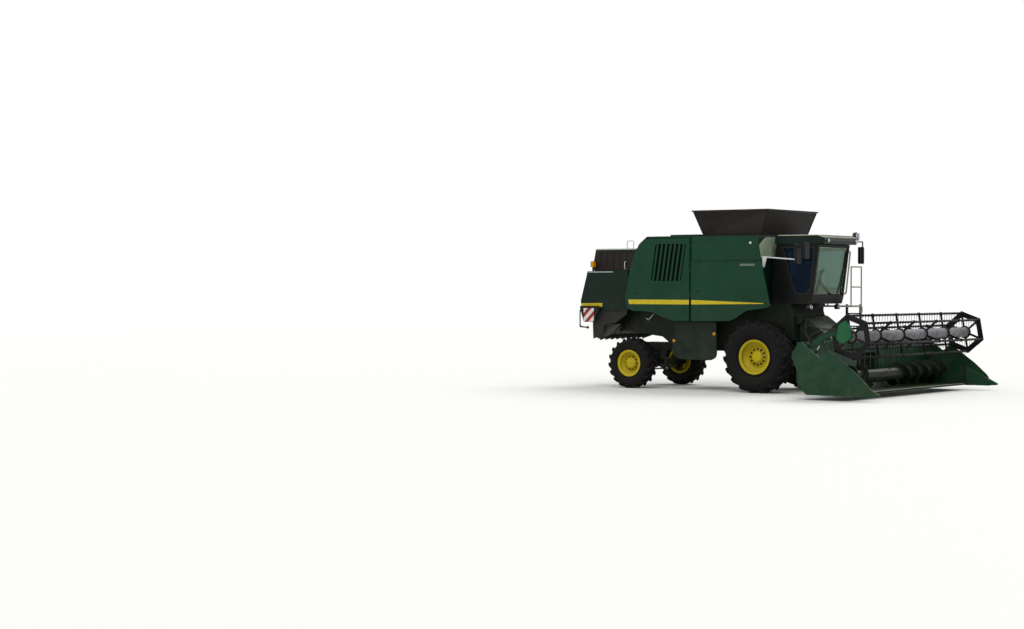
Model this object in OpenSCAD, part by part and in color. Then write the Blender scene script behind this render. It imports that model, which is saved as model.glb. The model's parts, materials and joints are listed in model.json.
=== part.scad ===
// Self-propelled combine harvester with a straight grain header and a tined reel.
// X runs forward, Y to the machine's left, Z up. Side outlines are written as [x, z]
// pairs measured from the front axle's line on the ground, and place() moves them so
// that the whole machine's length is centred on the origin.

/* [Overall] */
// Front axle to rear axle
wheelbase = 3850; // [3600:10:4100]
// Front axle back to the end of the straw hood
rear_reach = 5510; // [5300:10:5700]
// Front axle forward to the crop divider tips
front_reach = 4350; // [4250:10:4500]
// Half width over the side panels
panel_half_w = 1500; // [1470:1:1540]

/* [Wheels] */
// Outside diameter of a front tyre over its lugs
front_tyre_d = 1820; // [1760:5:1860]
// Width of a front tyre
front_tyre_w = 640; // [560:5:680]
// Centre line of a front tyre from the machine's middle
front_track_half = 1335; // [1320:5:1380]
// Diameter of a front rim at its flange
front_rim_d = 880; // [820:2:920]
// Outside diameter of a rear tyre over its lugs
rear_tyre_d = 1320; // [1260:5:1360]
// Width of a rear tyre
rear_tyre_w = 440; // [380:5:480]
// Centre line of a rear tyre from the machine's middle
rear_track_half = 1270; // [1240:5:1330]
// Diameter of a rear rim at its flange
rear_rim_d = 700; // [640:2:740]
// Height of a tyre lug
lug_h = 42; // [30:1:50]
// Number of lugs on each side of a tyre
lug_count = 18; // [14:1:22]

/* [Body] */
// Half width of the threshing body between the side panels
body_half_w = 840; // [780:5:900]
// Thickness of a side panel
panel_t = 40; // [30:1:50]
// Top of the grain tank and of the engine hood
deck_z = 3990; // [3900:5:4050]
// Top rim of the flared tank extension
extension_z = 4650; // [4500:5:4750]
// Thickness of tank and extension sheets
sheet_t = 20; // [12:1:30]
// Front wall of the grain tank, behind the front axle
tank_front_back = 30; // [10:1:60]
// Front edge of the engine bay, behind the front axle
bay_front_back = 1960; // [1920:5:2000]

/* [Cab] */
// Half width of the cab
cab_half_w = 850; // [800:5:880]
// Top of the cab roof
cab_roof_z = 3990; // [3900:5:4050]
// Top of the cab floor
cab_floor_z = 2330; // [2280:5:2380]
// Thickness of the cab's pillars and walls
cab_wall = 60; // [40:1:80]
// Thickness of the cab glass
glass_t = 8; // [5:1:12]

/* [Header] */
// Overall width over the end sheets
header_w = 6960; // [6600:10:7200]
// Diameter over the flights of the cross auger
auger_d = 600; // [540:5:640]
// Diameter of the cross auger's tube
auger_tube_d = 320; // [260:5:360]
// Underside of the header above the ground
header_z = 120; // [100:5:160]
// Thickness of the header's sheets
header_sheet = 30; // [20:1:40]

/* [Reel] */
// Reel axis to the centre of a bat tube
reel_r = 500; // [460:5:520]
// Diameter of the reel's centre tube
reel_tube_d = 260; // [200:5:300]
// Diameter of a bat tube
bat_d = 50; // [40:1:60]
// Length of a tine below its bat tube
tine_l = 170; // [130:5:190]
// Spacing of the tines along a bat
tine_pitch = 150; // [130:5:200]

/* [Unloading auger] */
// Diameter of the unloading tube
unload_d = 380; // [320:5:420]
// Length of the unloading tube from its pivot
unload_l = 4750; // [4200:10:4900]

/* [Fits] */
// Running gap between moving pieces
gap = 10; // [6:1:14]
// Gap between bodies that seat on each other
seat_gap = 0.3; // [0.2:0.05:0.5]

/* [Hidden] */

eps = 1;
axle_x = (rear_reach - front_reach) / 2;
green = "#1f5a3c";
dark_green = "#173a33";
yellow = "#d9c021";
dark_grey = "#3c3a37";
light_grey = "#9a9c98";
black = "#1c1d1e";

// Moves a piece from the front axle's line to the machine's own origin.
module place() translate([axle_x, 0, 0]) children();

function unit(v) = v / norm(v);

// An outline with each corner turned into a short curve that starts up to r from it.
function rounded(o, r) = [for (i = [0:len(o) - 1])
    let (a = o[(i + len(o) - 1) % len(o)] - o[i], b = o[(i + 1) % len(o)] - o[i],
        u = unit(a) * min(r, norm(a) * 0.45), v = unit(b) * min(r, norm(b) * 0.45))
    for (t = [0:0.25:1]) o[i] + (1 - t) * (1 - t) * u + t * t * v];

// Extrudes an [x, z] outline between two values of y.
module side_sheet(outline, y0, y1) {
    translate([0, max(y0, y1), 0]) rotate([90, 0, 0]) linear_extrude(abs(y1 - y0)) polygon(outline);
}

// Extrudes a [y, z] outline between two values of x.
module cross_sheet(outline, x0, x1) {
    translate([min(x0, x1), 0, 0]) rotate([90, 0, 90]) linear_extrude(abs(x1 - x0)) polygon(outline);
}

// A box from its lowest corner to its highest one.
module span_box(low, high) translate(low) cube(high - low);

// A round bar across the machine at [x, z], from y0 to y1.
module cross_bar(at, d, y0, y1) {
    translate([at[0], max(y0, y1), at[1]]) rotate([90, 0, 0]) cylinder(d = d, h = abs(y1 - y0), $fn = 48);
}

// A round bar between any two points.
module bar(p, q, d) {
    v = q - p;
    l = norm(v);
    translate(p) rotate([0, acos(v[2] / l), atan2(v[1], v[0])]) cylinder(d = d, h = l, $fn = 24);
}

module both_sides() {
    children();
    mirror([0, 1, 0]) children();
}

// Wheels. A wheel is drawn on the right side with its outer face toward -Y.

front_wheel = [front_tyre_d, front_tyre_w, front_rim_d, front_track_half];
rear_wheel = [rear_tyre_d, rear_tyre_w, rear_rim_d, rear_track_half];
rim_wall = 20;
rim_lip = 28;
spindle_d = 130;

function seat_r(w) = w[2] / 2 - rim_lip;
function bead_half(w) = w[1] * 0.41;

// Columns: share of the height from rim seat to tread, share of the half width
tyre_profile = [[0, 0.82], [0.1, 0.82], [0.17, 0.87], [0.36, 0.97], [0.6, 1], [0.8, 0.95], [0.93, 0.84],
    [1, 0.6], [1.03, 0.25]];

// The same for the outer faces of the lugs
lug_profile = [[0.4, 0.9], [0.6, 1.02], [0.86, 1], [0.96, 0.93], [1, 0.8]];

function reverse(list) = [for (i = [len(list) - 1:-1:0]) list[i]];

module tyre(w) {
    r_in = seat_r(w) + seat_gap;
    h = w[0] / 2 - lug_h - r_in;
    side = [for (p = tyre_profile) [r_in + min(p[0], 1) * h + max(p[0] - 1, 0) * h, p[1] * w[1] / 2]];
    color(black) rotate([90, 0, 0]) union() {
        rotate_extrude($fn = 128)
            polygon(concat(side, [for (p = reverse(side)) [p[0], -p[1]]]));
        tyre_lugs(w);
    }
}

// Slanted bars from the tread's middle out over the shoulder, trimmed to the tyre's diameter.
module tyre_lugs(w) {
    r_in = seat_r(w);
    h = w[0] / 2 - r_in;
    depth = lug_h + (w[0] / 2 - seat_r(w)) * 0.2;
    bar_l = w[1] * 0.62;
    intersection() {
        rotate_extrude($fn = 128) polygon([for (s = [1, -1], p = s > 0 ? lug_profile : reverse(lug_profile))
            [r_in + p[0] * h, s * p[1] * w[1] / 2]]);
        union() for (side = [-1, 1], i = [0:lug_count - 1])
            rotate([0, 0, -90 + (i + (side > 0 ? 0 : 0.5)) * 360 / lug_count])
                translate([w[0] / 2 - depth / 2 + eps, 0, side * w[1] * 0.24])
                    rotate([side * 42, 0, 0]) cube([depth, lug_h * 1.2, bar_l], center = true);
    }
}

module rim(w) {
    r = w[2] / 2;
    b = bead_half(w) + seat_gap;
    seat = seat_r(w);
    disc = w[1] * 0.16;
    hub_r = spindle_d * 1.15;
    color(yellow) rotate([90, 0, 0]) difference() {
        rotate_extrude($fn = 128) polygon([
            [0, disc + 70], [hub_r - 40, disc + 70], [hub_r, disc + 40], [hub_r + 10, disc],
            [r * 0.62, disc - 30], [seat - rim_wall, disc + 40], [seat - rim_wall - 12, b],
            [r - 12, b + rim_wall], [r, b + rim_wall], [r, b], [seat, b], [seat, -b], [r, -b],
                [r, -b - rim_wall],
            [r - 12, -b - rim_wall], [seat - rim_wall - 12, -b], [seat - rim_wall, disc + 10],
            [r * 0.62, disc - 55], [hub_r, disc - 60], [0, disc - 60]
        ]);
        translate([0, 0, disc - 60 - eps]) cylinder(d = spindle_d + 2 * seat_gap, h = 90, $fn = 48);
    }
}

module at_front_wheel(side) {
    place() translate([0, side * front_track_half, front_tyre_d / 2])
        mirror([0, side > 0 ? 1 : 0, 0]) children();
}

module at_rear_wheel(side) {
    place() translate([-wheelbase, side * rear_track_half, rear_tyre_d / 2])
        mirror([0, side > 0 ? 1 : 0, 0]) children();
}

module tyre_front_right() at_front_wheel(-1) tyre(front_wheel);
module tyre_front_left() at_front_wheel(1) tyre(front_wheel);
module rim_front_right() at_front_wheel(-1) rim(front_wheel);
module rim_front_left() at_front_wheel(1) rim(front_wheel);
module tyre_rear_right() at_rear_wheel(-1) tyre(rear_wheel);
module tyre_rear_left() at_rear_wheel(1) tyre(rear_wheel);
module rim_rear_right() at_rear_wheel(-1) rim(rear_wheel);
module rim_rear_left() at_rear_wheel(1) rim(rear_wheel);

// Inner end of a wheel's spindle bore, from the machine's middle
function hub_face(w) = w[3] + w[1] * 0.16 - 60;

// Rear axle: a beam on the frame, two steering knuckles on kingpins and a tie rod.

beam_h = 180;
beam_w = 160;
fork_h = 80;
arm_back = 330;
arm_t = 40;
tie_pin_d = 32;
kingpin_d = 60;
knuckle_half = 75;
rear_z = rear_tyre_d / 2;
kingpin_y = rear_track_half - rear_tyre_w / 2 - knuckle_half - gap;

module rear_axle() {
    color(dark_grey) place() translate([-wheelbase, 0, rear_z]) difference() {
        union() {
            span_box([-beam_w / 2, -kingpin_y, -beam_h / 2], [beam_w / 2, kingpin_y, beam_h / 2]);
            for (s = [-1, 1]) translate([0, s * kingpin_y, 0]) cylinder(d = beam_w, h = beam_h,
                center = true, $fn = 48);
            side_sheet([[-170, frame_low_z - rear_z], [170, frame_low_z - rear_z], [120, -beam_h / 2 - 40],
                [-120, -beam_h / 2 - 40]], -130, 130);
            rotate([0, 90, 0]) cylinder(d = 120, h = 420, center = true, $fn = 48);
        }
        for (s = [-1, 1]) translate([0, s * kingpin_y, 0])
            cylinder(d = kingpin_d + 2 * seat_gap, h = 2 * beam_h, center = true, $fn = 48);
    }
}

// A knuckle's fork holds the kingpin above and below the beam's end, and its arm points back.
module knuckle() {
    eye_z = beam_h / 2 + gap;
    web_y = beam_w / 2 + gap;
    spindle_in = hub_face(rear_wheel) - kingpin_y;
    color(dark_grey) translate([0, -kingpin_y, rear_z]) difference() {
        union() {
            cylinder(d = kingpin_d, h = 2 * (eye_z + fork_h), center = true, $fn = 48);
            for (z = [eye_z, -eye_z - fork_h]) translate([0, 0, z]) {
                cylinder(r = knuckle_half, h = fork_h, $fn = 48);
                span_box([-knuckle_half, -web_y - 60, 0], [knuckle_half, 0, fork_h]);
            }
            span_box([-knuckle_half, -web_y - 60, -eye_z - fork_h], [knuckle_half, -web_y, eye_z + fork_h]);
            rotate([90, 0, 0]) translate([0, 0, web_y]) cylinder(d = 200, h = spindle_in - web_y - gap,
                $fn = 48);
            rotate([90, 0, 0]) translate([0, 0, web_y]) cylinder(d = spindle_d, h = spindle_in - web_y + 70,
                $fn = 48);
            flat_arm([0, 0], [-arm_back, 0], 2 * knuckle_half, 80, -eye_z - fork_h, arm_t);
        }
        translate([-arm_back, 0, -eye_z - fork_h - eps])
            cylinder(d = tie_pin_d + 2 * seat_gap, h = arm_t + 2 * eps, $fn = 32);
    }
}

// A flat arm between two [x, y] points with round ends, drawn without a hull so that its bore stays true.
module flat_arm(p, q, dp, dq, z, t) {
    v = q - p;
    l = norm(v);
    translate([p[0], p[1], z]) rotate([0, 0, atan2(v[1], v[0])]) linear_extrude(t) {
        circle(d = dp, $fn = 48);
        translate([l, 0]) circle(d = dq, $fn = 48);
        polygon([[0, dp / 2], [0, -dp / 2], [l, -dq / 2], [l, dq / 2]]);
    }
}

module knuckle_right() place() translate([-wheelbase, 0, 0]) knuckle();
module knuckle_left() place() translate([-wheelbase, 0, 0]) mirror([0, 1, 0]) knuckle();

module tie_rod() {
    color(light_grey) place() translate([-wheelbase - arm_back, 0, rear_z - beam_h / 2 - gap - fork_h]) {
        for (s = [-1, 1]) translate([0, s * kingpin_y, -60]) {
            cylinder(d = tie_pin_d, h = 60 + arm_t, $fn = 32);
            cylinder(d = 70, h = 60 - gap, $fn = 32);
        }
        translate([0, kingpin_y, -35]) rotate([90, 0, 0]) cylinder(d = 45, h = 2 * kingpin_y, $fn = 32);
    }
}

// Frame, front axle and tow hitch

frame_low_z = 1010;
rail_h = 170;
rail_in = 470;
rail_out = 580;
rail_front = 560;
rail_back = -wheelbase - 480;
front_z = front_tyre_d / 2;
hitch_pin_d = 31;

module main_frame() {
    color(dark_grey) place() difference() {
        union() {
            for (s = [-1, 1]) span_box([rail_back, s > 0 ? rail_in : -rail_out, frame_low_z],
                [rail_front, s > 0 ? rail_out : -rail_in, frame_low_z + rail_h]);
            for (x = [rail_back, -wheelbase - 190, -wheelbase * 0.6, 200])
                span_box([x, -rail_in - eps, frame_low_z],
                    [x + (x == rail_back ? 120 : 380), rail_in + eps, frame_low_z + rail_h]);
            span_box([-130, -880, front_z - 130], [130, 880, front_z + 130]);
            ram_clevises();
            for (s = [-1, 1]) translate([0, s * 860, front_z]) rotate([s * -90, 0, 0]) {
                cylinder(d = 470, h = hub_face(front_wheel) - 860 - 90, $fn = 64);
                cylinder(d = 300, h = hub_face(front_wheel) - 860 - gap, $fn = 64);
                cylinder(d = spindle_d, h = hub_face(front_wheel) - 860 + 70, $fn = 48);
            }
            for (z = [frame_low_z - 70, frame_low_z - 190]) translate([0, 0, z]) linear_extrude(30) {
                polygon([[rail_back + 120, -160], [rail_back + 120, 160], [rail_back - 200, 70],
                    [rail_back - 200, -70]]);
                translate([rail_back - 200, 0]) circle(d = 140, $fn = 48);
            }
            span_box([rail_back + 40, -160, frame_low_z - 190], [rail_back + 120, 160, frame_low_z + eps]);
        }
        translate([rail_back - 200, 0, frame_low_z - 200]) cylinder(d = hitch_pin_d, h = 180, $fn = 32);
    }
}

// Threshing and cleaning body, closed, between the side panels

body_low_z = frame_low_z + rail_h;
body_top_z = 2320;
body_back = rail_back - 20;

module threshing_body() {
    color(dark_grey) place() {
        side_sheet([[700, 1330], [700, 1960], [600, cab_low_z - seat_gap], [0, cab_low_z - seat_gap],
            [0, body_top_z], [body_back, body_top_z], [body_back, 1500],
            [-3200, 1360], [-2950, body_low_z], [300, body_low_z]], -body_half_w, body_half_w);
        hinge_ears();
    }
}

// Grain tank: an open bin with a sloping floor on each side

tank_x1 = -tank_front_back;
tank_x0 = -bay_front_back + sheet_t;
tank_half_w = panel_half_w - panel_t;
tank_knee_z = 3300;
rim_x0 = -1690;
rim_x1 = -60;
rim_half_w = 1220;
top_x0 = -2000;
top_x1 = 220;
top_half_w = 1320;
extension_low_z = deck_z + seat_gap;

// Tank section as [y, z], drawn in by t on every wall
function tank_section(t) = [
    [tank_half_w - t, deck_z - t], [tank_half_w - t, tank_knee_z + t * 0.4],
    [body_half_w - t, body_top_z + t], [-body_half_w + t, body_top_z + t],
    [-tank_half_w + t, tank_knee_z + t * 0.4], [-tank_half_w + t, deck_z - t]
];

module grain_tank() {
    color(light_grey) place() difference() {
        cross_sheet(tank_section(0), tank_x0, tank_x1);
        cross_sheet(tank_section(sheet_t), tank_x0 + sheet_t, tank_x1 - sheet_t);
        span_box([rim_x0, -rim_half_w, deck_z - 2 * sheet_t], [rim_x1, rim_half_w, deck_z + eps]);
    }
}

// Points of a flared frustum between [x0, x1, half width, z] at its foot and at its top
function frustum_points(a, b) = [for (q = [a, b]) each
    [[q[0], -q[2], q[3]], [q[1], -q[2], q[3]], [q[1], q[2], q[3]], [q[0], q[2], q[3]]]];

module frustum(a, b) {
    polyhedron(frustum_points(a, b), [[0, 1, 2, 3], [7, 6, 5, 4], [4, 5, 1, 0], [5, 6, 2, 1], [6, 7, 3, 2],
        [7, 4, 0, 3]]);
}

module tank_extension() {
    t = sheet_t;
    color(dark_grey) place() difference() {
        union() {
            frustum([rim_x0 - t, rim_x1 + t, rim_half_w + t, extension_low_z],
                [top_x0, top_x1, top_half_w, extension_z]);
            frustum([top_x0 - 18, top_x1 + 18, top_half_w + 18, extension_z - 35],
                [top_x0 - 18, top_x1 + 18, top_half_w + 18, extension_z]);
        }
        frustum([rim_x0, rim_x1, rim_half_w, extension_low_z - eps],
            [top_x0 + t, top_x1 - t, top_half_w - t, extension_z + eps]);
    }
}

// Fixed panels over the tank's sides

module tank_panels() {
    color(green) place() both_sides()
        side_sheet(rounded([[-bay_front_back + 90, deck_z - 10], [tank_x1 + 30, deck_z - 30],
            [tank_x1 + 140, 3350],
            [-bay_front_back + 50, 3350], [-bay_front_back + 50, deck_z - 60]],
                panel_corner), -panel_half_w, -tank_half_w - seat_gap);
    color(green) place() both_sides() lift_pins(front_hinge_xs, -panel_half_w);
}

// Engine bay: a hood open at both sides, closed by the hinged panels

bay_x1 = -bay_front_back;
hood_outline = [[-3930, body_top_z + seat_gap], [-3880, 2620], [-3770, 3160], [-3630, 3540], [-3520, 3760],
    [-3420, 3900], [-3300, deck_z], [bay_x1, deck_z], [bay_x1, body_top_z + seat_gap]];
hood_inside = [[-3890, body_top_z - eps], [-3842, 2610], [-3732, 3150], [-3594, 3520], [-3486, 3730],
    [-3396, 3860], [-3290, deck_z - 40], [bay_x1 - 30, deck_z - 40], [bay_x1 - 30, body_top_z - eps]];
left_panel_top = 3340;

module engine_hood() {
    color(green) place() {
        difference() {
            side_sheet(hood_outline, -tank_half_w, tank_half_w);
            side_sheet(hood_inside, -tank_half_w - eps, tank_half_w - 30);
            side_sheet([for (p = hood_inside) [p[0], min(p[1], left_panel_top - 10)]], 0, tank_half_w + eps);
        }
        span_box([-3050, -700, deck_z - eps], [-2150, 700, deck_z + 60]);
        translate([-2700, 1000, deck_z - eps]) cylinder(d = 150, h = 360, $fn = 48);
        mirror([0, 1, 0]) lift_pins(rear_hinge_xs, -tank_half_w);
        swing_pins();
    }
}

module engine_block() {
    color(dark_grey) place() translate([-3300, -380, body_top_z + seat_gap]) cube([1100, 760, 880]);
}

// Hinged side panels

engine_outline = [[-3960, 2300], [-3910, 2620], [-3800, 3160], [-3660, 3550], [-3510, 3810], [-3370, 3910],
    [-3200, 3930], [bay_x1 - 25, 3940], [bay_x1 - 25, 1795], [-2450, 1790], [-2790, 1880], [-3130, 2020],
    [-3480, 2040], [-3700, 2040], [-3900, 2120]];
left_engine_outline = [for (i = [0:len(engine_outline) - 1])
    if (i < 3 || i > 7) engine_outline[i] else if (i == 3) [-3742, left_panel_top]
    else if (i == 7) [bay_x1 - 25, left_panel_top]];
front_outline = [[bay_x1 + 30, left_panel_top], [112, left_panel_top], [380, 2215], [350, 2170], [-310, 2070],
    [-580, 1900], [-800, 1810], [bay_x1 + 30, 1790]];
// Louvre corners: bottom rear, bottom front, and how far the top leans forward
louvre_low = [-3160, 2830];
louvre_w = 930;
louvre_h = 960;
louvre_lean = 150;
slat_count = 7;
slat_w = 62;

// Panel hinges: a pin between two lugs on the fixed sheet and a sleeve on the panel. Lift hinges lie along
// the top edge on either side, swing hinges stand at the front edge of the right engine panel.

panel_corner = 45;
panel_pin_d = 12;
knuckle_d = 20;
knuckle_l = 60;
lug_t = 18;
lift_axis = [-panel_half_w - 12, left_panel_top + 5];
swing_axis = [bay_x1 + 3, -panel_half_w + 18];
front_hinge_xs = [-1700, -900, -100];
rear_hinge_xs = [-3500, -2850, -2200];
swing_hinge_zs = [2450, 3100, 3750];

module pin_of_hinge() cylinder(d = panel_pin_d, h = knuckle_l + 2 * lug_t + 12, center = true, $fn = 32);

module sleeve_of_hinge(tab) difference() {
    union() {
        cylinder(d = knuckle_d, h = knuckle_l, center = true, $fn = 32);
        translate([tab[0], tab[1], -knuckle_l / 2]) cube([tab[2] - tab[0], tab[3] - tab[1], knuckle_l]);
    }
    cylinder(d = panel_pin_d + 2 * seat_gap, h = knuckle_l + 2, center = true, $fn = 32);
}

// wall_y is the outer face of the sheet that carries the lugs
module lift_pins(xs, wall_y) {
    for (x = xs) {
        translate([x, lift_axis[0], lift_axis[1]]) rotate([0, 90, 0]) pin_of_hinge();
        for (s = [-1, 1]) let (a = x + s * (knuckle_l / 2 + 4))
            span_box([min(a, a + s * lug_t), lift_axis[0] - 8, lift_axis[1] + 1],
                [max(a, a + s * lug_t), wall_y + eps, lift_axis[1] + 27]);
    }
}

module lift_sleeves(xs) {
    for (x = xs) translate([x, lift_axis[0], lift_axis[1]]) rotate([0, 90, 0]) sleeve_of_hinge([0, -6, 45,
        12 + eps]);
}

module swing_pins() {
    for (z = swing_hinge_zs) {
        translate([swing_axis[0], swing_axis[1], z]) pin_of_hinge();
        for (s = [-1, 1]) let (a = z + s * (knuckle_l / 2 + 4))
            span_box([swing_axis[0] - 23, swing_axis[1] - 12, min(a, a + s * lug_t)],
                [swing_axis[0] + 12, -tank_half_w + eps, max(a, a + s * lug_t)]);
    }
}

module swing_sleeves() {
    for (z = swing_hinge_zs) translate([swing_axis[0], swing_axis[1], z]) sleeve_of_hinge([-34, -8, 0, 8]);
}

module panel_plate(outline) {
    side_sheet(rounded(outline, panel_corner), -panel_half_w, -tank_half_w - seat_gap);
}

function louvre_point(x, z) = louvre_low + [x + louvre_lean * z / louvre_h, z];

module louvre_cut() {
    side_sheet(rounded([louvre_point(0, 0), louvre_point(louvre_w, 0), louvre_point(louvre_w, louvre_h),
        louvre_point(0, louvre_h)], panel_corner), -panel_half_w - eps, -tank_half_w + eps);
}

module louvre_slats() {
    pitch = louvre_w / slat_count;
    for (i = [0:slat_count - 1], x = (i + 0.5) * pitch)
        side_sheet([louvre_point(x - slat_w / 2, -5), louvre_point(x + slat_w / 2, -5),
            louvre_point(x + slat_w / 2, louvre_h + 5), louvre_point(x - slat_w / 2, louvre_h + 5)],
            -panel_half_w + 5, -tank_half_w - 10);
}

module engine_panel_right() {
    color(green) place() {
        difference() {
            panel_plate(engine_outline);
            louvre_cut();
        }
        louvre_slats();
        swing_sleeves();
    }
}

module engine_panel_left() {
    color(green) place() mirror([0, 1, 0]) {
        panel_plate(left_engine_outline);
        lift_sleeves(rear_hinge_xs);
    }
}

module side_panel_right() {
    color(green) place() {
        panel_plate(front_outline);
        lift_sleeves(front_hinge_xs);
    }
}

module side_panel_left() {
    color(green) place() mirror([0, 1, 0]) {
        panel_plate(front_outline);
        lift_sleeves(front_hinge_xs);
    }
}

// Fixed shields low on both sides, on two brackets each

shield_outline = [[-2530, 1770], [-1280, 1770], [-1270, 940], [-1310, 850], [-1450, 785], [-2380, 800],
    [-2540, 880], [-2600, 1060]];
shield_y = 1280;

module lower_shields() {
    color(dark_green) place() both_sides() {
        side_sheet(rounded(shield_outline, panel_corner), -shield_y - panel_t, -shield_y);
        for (x = [-2350, -1500]) span_box([x - 30, -shield_y - eps, 1500],
            [x + 30, -body_half_w - seat_gap, 1560]);
    }
}

// Straw hood: a hollow cover open below, behind the engine

tube_rest_x = -4425;

hood_half_w = 1300;
hood_t = 30;
hood_back = -5290;
air_front = -3800;
air_half_w = 1000;
air_slot = 150;
air_pitch = 210;
straw_outline = [[hood_back, 3090], [-4000, 3110], [-3960, 2300], [-4000, 2060], [-4560, 2030], [-5480, 2120],
    [-5510, 2290]];
straw_inside = [[-5265, 3060], [-4030, 3080], [-4000, 2300], [-4030, 1900], [-4560, 1900], [-5450, 1900],
    [-5480, 2290]];

module straw_hood() {
    color(dark_green) place() difference() {
        side_sheet(straw_outline, -hood_half_w, hood_half_w);
        side_sheet(straw_inside, -hood_half_w + hood_t, hood_half_w - hood_t);
        side_sheet([[body_back - seat_gap, 1900], [body_back - seat_gap, body_top_z + seat_gap],
            [-3800, body_top_z + seat_gap],
            [-3800, 1900]], -body_half_w - seat_gap, body_half_w + seat_gap);
    }
    color(dark_green) place() tube_rest();
}

// The arm on the hood's roof that carries the folded unloading tube
module tube_rest() {
    roof = straw_top(tube_rest_x) - 10;
    under = unload_z - unload_d / 2 - gap * 0.6;
    cross_sheet(rounded([[1170, roof], [1270, roof], [unload_at[1] + 90, under - 60],
        [unload_at[1] + 90, under],
        [unload_at[1] - 100, under], [1170, roof + 110]], 30), tube_rest_x - 25, tube_rest_x + 25);
}

// Height of the straw hood's sloping top at x, with the seating gap
function straw_top(x) = let (a = straw_outline[0], b = straw_outline[1])
    a[1] + (x - a[0]) * (b[1] - a[1]) / (b[0] - a[0]) + seat_gap;

module air_box() {
    color(dark_grey) place() {
        difference() {
            side_sheet([[hood_back, 3370], [hood_back + 70, 3690], [air_front, 3690],
                [air_front, straw_top(air_front)], [hood_back + 20, straw_top(hood_back + 20)]],
                -air_half_w, air_half_w);
            side_sheet([for (p = hood_outline) [p[0] - 20, p[1] + 20]], -air_half_w - eps, air_half_w + eps);
            for (s = [-1, 1], i = [0:4]) let (x = hood_back + air_pitch * (i + 1))
                span_box([x, s > 0 ? air_half_w - 15 : -air_half_w - eps, 3200],
                    [x + air_slot, s > 0 ? air_half_w + eps : -air_half_w + 15, 3600]);
        }
    }
}

// Straw chopper with the vanes of its spreader board

vane_count = 9;
vane_t = 8;
vane_reach = 1050;

// Outline points given from the body's rear face, so that the chopper stays behind it
function behind_body(outline) = [for (p = outline) [body_back + p[0], p[1]]];

module chopper() {
    color(light_grey) place() {
        side_sheet(behind_body([[-seat_gap, 1740], [-50, 1990], [-450, 1990], [-630, 1780],
            [-650, 1650], [-210, 1480], [-seat_gap, 1505]]), -body_half_w, body_half_w);
        side_sheet(behind_body([[-30, 1650], [-30, 1610], [-260, 1440], [-740, 1280], [-750, 1310],
            [-290, 1480], [-660, 1640], [-650, 1670]]), -vane_reach - 50, vane_reach + 50);
        for (i = [0:vane_count - 1]) let (y = vane_reach * (2 * i / (vane_count - 1) - 1))
            side_sheet(behind_body([[-310, 1430], [-710, 1297], [-695, 1235], [-370, 1340]]),
                y - vane_t / 2, y + vane_t / 2);
    }
}

board_y = -1400;

module rear_brackets() {
    color(black) place() both_sides() {
        for (x = [-5380, -4950])
            span_box([x - 20, board_y, 2120], [x + 20, -hood_half_w - seat_gap, 2160]);
        side_sheet(rounded([[-5460, 2160], [-4830, 2160], [-4830, 2110], [-5010, 1730], [-5340, 1730],
            [-5460, 2110]], 30),
            board_y - 10, board_y + 10);
        // A bent flat bar hangs from the board's rear edge and ends in a round lamp
        side_sheet(rounded([[-5465, 2060], [-5435, 2060], [-5435, 1625], [-5210, 1600], [-5210, 1570],
            [-5465, 1585]], 40), board_y - 24, board_y - 9);
        cross_bar([-5195, 1585], 70, board_y - 40, board_y - 10);
    }
}

// Cab: a shell with window and door openings, a roof, glass, seat and controls

cab_low_z = cab_floor_z - 80;
cab_top_z = 3760;
glass_corner = 60;
cab_outline = [[70, cab_low_z], [1180, cab_low_z], [1230, 2420], [1405, cab_top_z], [200, cab_top_z],
    [70, 2700]];
cab_inside = [[150, cab_floor_z], [1120, cab_floor_z], [1170, 2420], [1340, cab_top_z - 40],
    [270, cab_top_z - 40], [150, 2720]];
roof_outline = [[170, cab_top_z], [1560, cab_top_z], [1610, 3830], [1560, 3930], [1420, cab_roof_z],
    [280, cab_roof_z],
    [190, 3930]];
window_outline = rounded([[360, 3700], [700, 2610], [760, 2520], [850, 2490], [1060, 2500], [1130, 2560],
    [1190, 2730],
    [1290, 3700]], glass_corner);
door_glass_outline = rounded([[430, 2720], [480, 2660], [1080, 2660], [1150, 2720], [1262, 3630],
    [430, 3630]], glass_corner);
door_corner = 50;
roof_half_w = cab_half_w + 45;
screen_low_z = 2460;
screen_top_z = 3710;
screen_half_w = cab_half_w - cab_wall;

// Forward face of the cab at a height
function cab_front(z) = 1230 + (z - 2420) * (1405 - 1230) / (cab_top_z - 2420);

// Two door hinges: a pin with lugs on the cab and a sleeve on the door
hinge_zs = [2640, 3400];
door_axis = [352, cab_half_w + 16];
hinge_pin_d = 14;
sleeve_l = 70;

module door_hinge_pins() {
    for (z = hinge_zs) translate([door_axis[0], door_axis[1], z]) {
        cylinder(d = hinge_pin_d, h = sleeve_l + 60, center = true, $fn = 24);
        for (s = [-1, 1]) translate([0, 0, s * (sleeve_l / 2 + 18) - 12]) {
            translate([-60, -16, 0]) cube([60, 28, 24]);
            cylinder(d = 24, h = 24, $fn = 32);
        }
    }
}

module door_hinge_sleeves() {
    for (z = hinge_zs) translate([door_axis[0], door_axis[1], z]) difference() {
        union() {
            cylinder(d = 26, h = sleeve_l, center = true, $fn = 32);
            translate([0, -16, -sleeve_l / 2]) cube([70, 10, sleeve_l]);
        }
        cylinder(d = hinge_pin_d + 2 * seat_gap, h = sleeve_l + 2, center = true, $fn = 24);
    }
}

module cab_shell() {
    color(dark_grey) place() {
        door_hinge_pins();
        cab_box();
    }
}

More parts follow.
